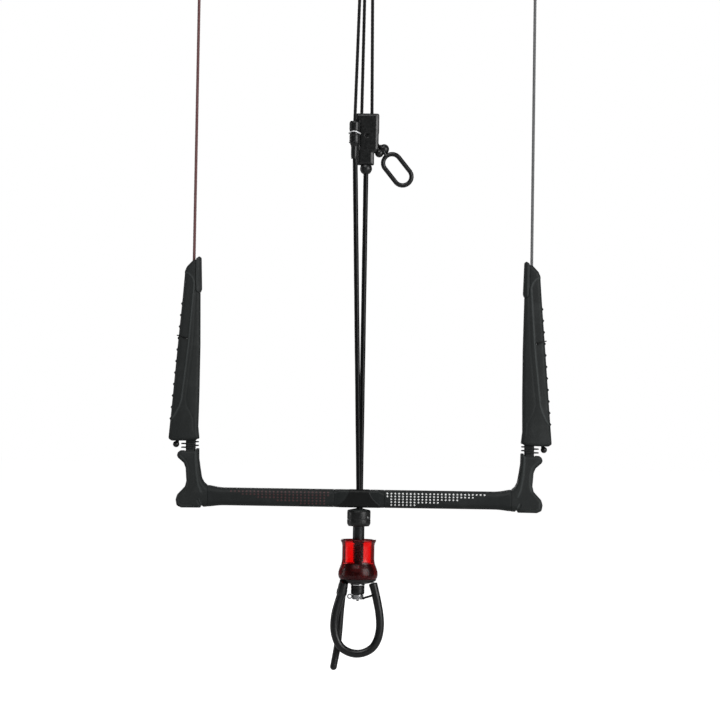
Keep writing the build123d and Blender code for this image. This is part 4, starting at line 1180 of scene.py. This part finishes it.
# Trim unit ------------

STEP_Z = 484.8
HOUSING_RIGHT = 19.65
HOUSING_OUTLINE = fillet([
    (-12.9, STEP_Z, 1), (-12.9, 535.4, 2.2), (HOUSING_RIGHT, 535.4, 3.2), (HOUSING_RIGHT, 509, 3),
    (19.1, 506.5, 3), (19.1, 486, 3), (16.4, 481.6, 2), (13.2, 480.4, 1),
    (13.2, 463.5, 2), (-10.3, 463.5, 2), (-10.3, STEP_Z - 2, 1.5),
])
STOP_BALL = np.array((2.1, 5.2, 458.7))
STOP_BALL_R = 8.5
PULL_WAY = np.array((0.631, 0, -0.777))
TRIM_BALL = np.array((26.8, TRIM_Y, 486.2))
TRIM_BALL_R = 7.1
TRIM_KNOT = np.array((20.3, TRIM_Y, 480.7))
TRIM_KNOT_R = 6.1
BALL_ROOM = 0.2
TRIM_CORD_R = 2.25
LEG_FOOT_Z = 501
BEND_X = 2.05
BEND_Z = 707.25
BEND_R = 5.4
FIXED_LEG = (-5.3, BEND_X - BEND_R)
RUNNING_LEG = (9.6, BEND_X + BEND_R)


def leg_x(z, leg):
    """A trim leg's place across at a height; leg is its foot and its top."""
    foot, top = leg
    return foot + (top - foot) * (z - LEG_FOOT_Z) / (BEND_Z - LEG_FOOT_Z)


def housing_field(x, y, z):
    """Cleat body: wide top, narrower foot, a bevelled right edge, and mouths for the cords."""
    deep = np.abs(y - TRIM_Y)
    half = 9 - 0.35 * ease((STEP_Z + 2 - z) / 4)
    body = rounded_and(outline_distance(HOUSING_OUTLINE, x, z), deep - half, 4.2)
    right = np.where(z > STEP_Z - 3.4, HOUSING_RIGHT, 13.2)
    body = np.maximum(body, (x - right + 4.6) * 0.36 + (deep - half) * 0.93)
    legs = [bore(x - leg_x(z, leg), y - TRIM_Y, 2.6) for leg in (FIXED_LEG, RUNNING_LEG)]
    body = carved(body, (np.maximum(np.minimum(*legs), 500 - z), 1))
    cleat = all_of(3.2 - x, x - 16, deep - 6, np.abs(z - 518) - 10)
    body = np.maximum(body, -cleat)
    tail = rod_distance(x, y, z, TRIM_BALL, TRIM_BALL - PULL_WAY * 34, 2.6)
    flag = np.maximum(bore(x - FLAG_X, y - FLAG_Y, 9), np.abs(z - 505) - 21)
    body = carved(body, (tail, 0.8), (flag, 0.4))
    for centre, size in ((TRIM_BALL, TRIM_BALL_R), (TRIM_KNOT, TRIM_KNOT_R), (STOP_BALL, STOP_BALL_R)):
        body = carved(body, (ball_distance(x, y, z, centre, size + BALL_ROOM), 0.5))
    body = np.maximum(body, -np.maximum(bore(x - 2.1, y - 5.24, 3.6), z - 474))
    front = np.maximum(bore(x - 2.9, z - 504.9, SCREW_HOLE_R), y - TRIM_Y + 6.4)
    rear = np.maximum(bore(x + 3.6, z - 497, SCREW_HOLE_R), 6.4 - y + TRIM_Y)
    return carved(body, (np.minimum(front, rear), 0.5))


def build_trim_unit():
    low, high = (-14.5, TRIM_Y - 10.5, 462), (21, TRIM_Y + 10.5, 537)
    for name, way in (("front", -1), ("rear", 1)):
        shell = half_shell(housing_field, way, TRIM_Y, low, high, 0.45, 0.05, 0.3)
        put(f"cleat_cover_{name}", shell, PLASTIC, "centre_line", "black_plastic", f"trim_housing_{name}")
    profile = [(3.62, -7.6)]
    for angle in np.linspace(-62, 66, 44):
        a = math.radians(angle)
        groove = 0.3 * math.exp(-(((angle + 30) / 5) ** 2)) + 0.18 * math.exp(-(((angle - 8) / 3) ** 2))
        profile.append(((STOP_BALL_R - groove) * math.cos(a), STOP_BALL_R * math.sin(a)))
    profile.append((3.62, 7.7))
    ball = lathe(profile, STOP_BALL, sides=72, closed=True)
    put("rope_stop_ball", ball, PLASTIC, "centre_line", "black_plastic", "lower_stop_ball")


def trim_leg(leg, heights):
    return [(leg_x(z, leg), TRIM_Y, z) for z in heights]


def bend_points(height, angles):
    """Points where a cord bends round the trim ring's wire."""
    return [(BEND_X + BEND_R * math.cos(a), TRIM_Y, height + BEND_R * math.sin(a)) for a in angles]


def trim_cord_points():
    """Up one leg, over the ring and down the other."""
    up = trim_leg(FIXED_LEG, [LEG_FOOT_Z, *range(520, 700, 20)])
    down = trim_leg(RUNNING_LEG, [*range(700, 519, -20), LEG_FOOT_Z])
    return up + bend_points(BEND_Z, np.linspace(math.pi, 0, 9)) + down


RING_Z = 715
RING_R = 7.75
LOOP_Z = RING_Z + RING_R
PIGTAIL_R = 2.1


def build_trim_cords():
    cord = rope(trim_cord_points(), TRIM_CORD_R, 22, 0.6)
    put_blend("trim_rope", cord, CORD, "trim_line", WOVEN)
    ring = []
    for a in circle(64):
        ring.append(np.array((BEND_X, TRIM_Y + RING_R * math.cos(a), RING_Z + RING_R * math.sin(a))))
    put("line_ring", sweep(ring, 3, 32, True), ANODISED, "front_line", "ring_metal", "trim_ring")


def build_pigtail():
    """The front line's end: a loop round the ring, its splice, a short leader and a knot."""

    def above(rise, across=0):
        return BEND_X + across, TRIM_Y, LOOP_Z + rise

    swell = lambda s: 2.3 + 1.2 * float(ease(s / 4) * ease((17 - s) / 4))
    bend = bend_points(LOOP_Z, np.linspace(-2.7, -0.44, 5))
    down = [above(20, -1.3), above(9, -3.6), above(1, -5.3)]
    up = [above(1, 5.3), above(9, 3.6), above(20, 1.3)]
    for name, shape, nodes in (
        ("pigtail_loop", rope(down + bend + up, PIGTAIL_R, 20), ["front_line_pigtail"]),
        ("pigtail_splice", rope([above(14), above(31)], swell, 28, 0.5, 0.3, 3, 6, cover=3.2), []),
        ("pigtail_leader", rope([above(30), above(42)], PIGTAIL_R, 20), []),
    ):
        put(name, shape, CORD, "front_line", "black_cord", *nodes, crease=WOVEN)
    put("pigtail_knot", knot_shape(above(44), 4.2), CORD, "front_line", "black_cord")


HANDLE_CENTRE = np.array((45.7, TRIM_Y, 457.9))
HANDLE_STRAIGHT = 11.9
HANDLE_BEND_R = 12.35
HANDLE_TUBE_R = 3.15
HANDLE_END = HANDLE_CENTRE - PULL_WAY * 27.1
HANDLE_STUB = [
    (0.02, -5, 0), (1.5, -4.9, 0.3), (1.5, 1.2, 1), (2.6, 2.4, 1), (2.9, 4, 0.8), (0.02, 4.2, 0),
]


def handle_path():
    """An oval ring whose long way runs along the pull."""
    across = np.array((PULL_WAY[2], 0, -PULL_WAY[0]))
    points = []
    for a in circle(72):
        ahead = HANDLE_STRAIGHT if math.cos(a) >= 0 else -HANDLE_STRAIGHT
        centre = HANDLE_CENTRE + PULL_WAY * (ahead + HANDLE_BEND_R * math.cos(a))
        points.append(centre + across * HANDLE_BEND_R * math.sin(a))
    return path_through(points, 0.7, closed=True)


def toggle_field(x, y, z):
    """Ball and knot with a cord groove over both."""
    ball = ball_distance(x, y, z, TRIM_BALL, TRIM_BALL_R)
    both = soft_or(ball, ball_distance(x, y, z, TRIM_KNOT, TRIM_KNOT_R), 1)
    strap = rod_distance(x, y, z, (22.6, TRIM_Y - 4.6, 490.2), (29.4, TRIM_Y - 3.9, 477.4), 2.1)
    both = soft_or(both + 0.5 * np.exp(-((strap / 0.5) ** 2)), strap, 0.4)
    wrap = (x - TRIM_KNOT[0]) * 0.5 + (z - TRIM_KNOT[2]) * 0.87
    both = both + 0.2 * np.exp(-(((wrap + 1) / 0.6) ** 2))
    shaft = rod_distance(x, y, z, HANDLE_END - PULL_WAY * 6, HANDLE_END + PULL_WAY * 3, 1.62)
    cord = rod_distance(x, y, z, HANDLE_END - PULL_WAY * 5, HANDLE_END - PULL_WAY * 30, 2.3)
    return carved(both, (np.minimum(shaft, cord), 0.3))


def build_trim_handle():
    def spiral(s, turn):
        return 0.1 * (np.abs(np.sin(turn * 1.5 + s * 0.9)) - 0.5)

    ring = sweep(handle_path(), HANDLE_TUBE_R, 28, True, spiral)
    put("pull_handle", ring, HOSE, "trim_grip", "loop_plastic", "trim_handle")
    stub = lathe(fillet(HANDLE_STUB, closed=False), HANDLE_END, PULL_WAY, 36)
    put("handle_stub", stub, HOSE, "trim_grip", "loop_plastic")
    toggle = mesh_field((13.5, TRIM_Y - 8, 472.5), (35, TRIM_Y + 8, 494.5), 0.4, toggle_field)
    put("toggle_ball", toggle, PLASTIC, "trim_toggle", "black_plastic", "trim_ball")
    tail = rope([HANDLE_END - PULL_WAY * 26, HANDLE_END - PULL_WAY * 4.6], 2.2, 20)
    put_blend("tail_rope", tail, CORD, "trim_tail_cord", WOVEN)


# Flag-out swivel ------------

FLAG_AT = (FLAG_X, FLAG_Y, 0)
BOOT = [
    (3.56, 471.6, 0.2), (4.3, 471.6, 0.4), (4.75, 476, 3), (4.9, 489.5, 4), (6.5, 493.2, 1),
    (7.8, 493.9, 0.4), (7.8, 495.2, 0.4), (7.3, 495.8, 0.3), (7.3, 504.3, 0.9), (6.6, 505.1, 0.5),
    (0.02, 505.1, 0), (0.02, 487.6, 0), (3.56, 487.6, 0.1),
]
CAP = [
    (6.9, 505.3, 0.1), (6.9, 510.9, 0.1), (7.2, 510.9, 0.1), (7.5, 511.7, 0.5), (7.5, 522, 1.8),
    (6.3, 524.1, 1), (0.02, 524.1, 0), (0.02, 505.3, 0),
]
WASHER_SECTION = fillet([(7.05, -0.75, 0.3), (8.6, -0.75, 0.3), (8.6, 0.75, 0.3), (7.05, 0.75, 0.3)])
WASHER_WAVE = 1.55
FLAG_TOP = (-10.1, -3.4, 706)
FLAG_EYE_X = -10
FLAG_EYE_Y = -3.3


def fluted(profile, low, high):
    """A turned shell with fine flutes from a low to a high level."""

    def flutes(turn, height):
        share = float(ease((height - low) / 0.8) * ease((high - height) / 0.8))
        return -0.1 * share * (0.5 + 0.5 * np.cos(turn * 24)) ** 2

    return lathe(fillet(profile), FLAG_AT, sides=144, closed=True, relief=flutes)


def washer_mesh():
    turn = circle(120)
    rings = []
    for reach, rise in WASHER_SECTION:
        height = WASHER_Z + rise - WASHER_WAVE * np.cos(2 * turn + 0.3)
        rings.append(np.stack([reach * np.cos(turn), reach * np.sin(turn), height], 1) + FLAG_AT)
    return skin_rings(rings, closed=True)


def build_flag_swivel():
    put("flag_boot", fluted(BOOT, 496.2, 503.8), PLASTIC, "centre_line", "black_plastic", "flag_collar_lower")
    put("flag_cap", fluted(CAP, 512.2, 521.4), PLASTIC, "centre_line", "black_plastic", "flag_collar_upper")
    put("wave_washer", washer_mesh(), WASHER, "flag_washer", "bright_steel", "flag_wave_ring")
    swell = lambda s: 2.3 + 0.9 * float(ease(s / 4))
    splice = rope([(-10.1, -3.4, 702), (FLAG_EYE_X, FLAG_EYE_Y, 719.5)], swell, 24, 0.5, 0.3, 3, 6, cover=3)
    eye = eye_path(FLAG_EYE_X, FLAG_EYE_Y, 717, 24, 9)
    for name, shape, nodes in (
        ("flag_rope", rope([(FLAG_X, FLAG_Y, 523.6), FLAG_TOP], TRIM_CORD_R, 22, 0.6), ["flag_line_upper"]),
        ("flag_splice", splice, []),
        ("flag_eye", sweep(eye, 1.8, 18, True, braid(1.8, 0.24)), []),
    ):
        put(name, shape, CORD, "centre_line", "black_cord", *nodes, crease=WOVEN)


# Carried-over CAD nodes ------------

CAD_FINISHES = {
    "core_tubes": CARBON, "bar_screws": STEEL, "hub_insert": ACETAL, "leader_anchors": CORD,
    "release_pins": ANODISED, "collar_base": PLASTIC, "swivel_bearing": STEEL, "flag_line_core": CORD,
    "latch_lever": STEEL, "leash_eye": STEEL, "loop_core_cord": CORD, "finger_pin": STEEL,
    "trim_cleat_jaws": ALUMINIUM, "trim_housing_screws": ANODISED,
}


def finish_cad_nodes():
    for node, material in CAD_FINISHES.items():
        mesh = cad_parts[node].data
        mesh.materials.clear()
        mesh.materials.append(material)


# Stage: floor, light and camera ------------

WHITE = (1, 1, 1, 1)
FLOOR_REACH = 14
FLOOR_DROP = 0.09
FLOOR_GLOW = (0.08, 0.97)
WORLD_GLOW = (0.06, 1)
LIGHTS = {
    "key": ((2.2, -2, 1), 1.9, 1.7, 54),
    "front": ((-0.7, -2.3, 3.3), 2.4, 1.4, 56),
    "left": ((-2.8, 0.3, 0.7), 0.4, 1.7, 9),
    "top": ((0.1, 0.9, 2.8), 1.6, 1, 7),
    "back": ((-0.9, 3, 1.3), 1.6, 1.6, 30),
}
PICTURE_ROLL = 0.0161
PICTURE_HEIGHT = 1.0008
LOOK_AT_X = -0.0019
LOOK_AT_Z = 192.4
LENS = 200
SENSOR = 36


def floor_paint():
    """Pale paint that glows for the camera and throws only a little light upwards."""
    paint = Surface("pale_floor", (0.5, 0.5, 0.5), 0.9).mottled((0.55, 0.55, 0.55), 400).grained(30, 0.1)
    seen = paint.node("LightPath").outputs["Is Camera Ray"]
    paint.link(paint.remap(seen, 0, 1, *FLOOR_GLOW), paint.shader.inputs["Emission Strength"])
    return paint.set(Emission_Color=WHITE, Specular_IOR_Level=0).material


def build_stage():
    mesh = bpy.data.meshes.new("floor")
    corners = [(-1, -1), (1, -1), (1, 1), (-1, 1)]
    spots = [(x * FLOOR_REACH, y * FLOOR_REACH, CAD_LOW.z - FLOOR_DROP) for x, y in corners]
    mesh.from_pydata(spots, [], [(0, 1, 2, 3)])
    mesh.materials.append(floor_paint())
    floor = bpy.data.objects.new("floor", mesh)
    bpy.context.scene.collection.objects.link(floor)


def build_light():
    world = bpy.data.worlds.new("studio")
    bpy.context.scene.world = world
    world.use_nodes = True
    tree = world.node_tree
    back = tree.nodes["Background"]
    seen = add_node(tree, "LightPath", {}).outputs["Is Camera Ray"]
    inputs = {"To Min": WORLD_GLOW[0], "To Max": WORLD_GLOW[1], "Value": seen}
    tree.links.new(add_node(tree, "MapRange", inputs).outputs["Result"], back.inputs["Strength"])
    back.inputs["Color"].default_value = WHITE
    middle = (CAD_LOW + CAD_HIGH) / 2
    for name, (place, width, height, power) in LIGHTS.items():
        data = bpy.data.lights.new(name, "AREA")
        data.shape = "RECTANGLE"
        data.size, data.size_y = width, height
        data.energy = power
        lamp = bpy.data.objects.new(name, data)
        lamp.location = place
        lamp.rotation_euler = (middle - Vector(place)).to_track_quat("-Z", "Y").to_euler()
        lamp.visible_camera = False
        bpy.context.scene.collection.objects.link(lamp)


def build_camera():
    data = bpy.data.cameras.new("camera")
    data.lens = LENS
    data.sensor_width = SENSOR
    data.clip_start, data.clip_end = 0.1, 60
    camera = bpy.data.objects.new("camera", data)
    right = Vector((math.cos(PICTURE_ROLL), 0, math.sin(PICTURE_ROLL)))
    back = Vector((0, -1, 0))
    turn = Matrix((right, back.cross(right), back)).transposed()
    camera.rotation_mode = "QUATERNION"
    camera.rotation_quaternion = turn.to_quaternion()
    distance = PICTURE_HEIGHT / 2 / (SENSOR / 2 / LENS)
    camera.location = Vector((LOOK_AT_X, 0, (BAR_Z + LOOK_AT_Z) * MM)) + back * distance
    bpy.context.scene.collection.objects.link(camera)
    bpy.context.scene.camera = camera
    bpy.context.scene.view_settings.view_transform = "Standard"


build_bar()
build_bar_ends()
build_necks()
build_floats()
build_steering_lines()
build_pull_balls()
build_centre_lines()
build_collar()
build_sleeve()
build_release()
build_loop()
build_finger()
build_leash()
build_trim_unit()
build_trim_cords()
build_pigtail()
build_trim_handle()
build_flag_swivel()
finish_cad_nodes()
build_stage()
build_light()
build_camera()
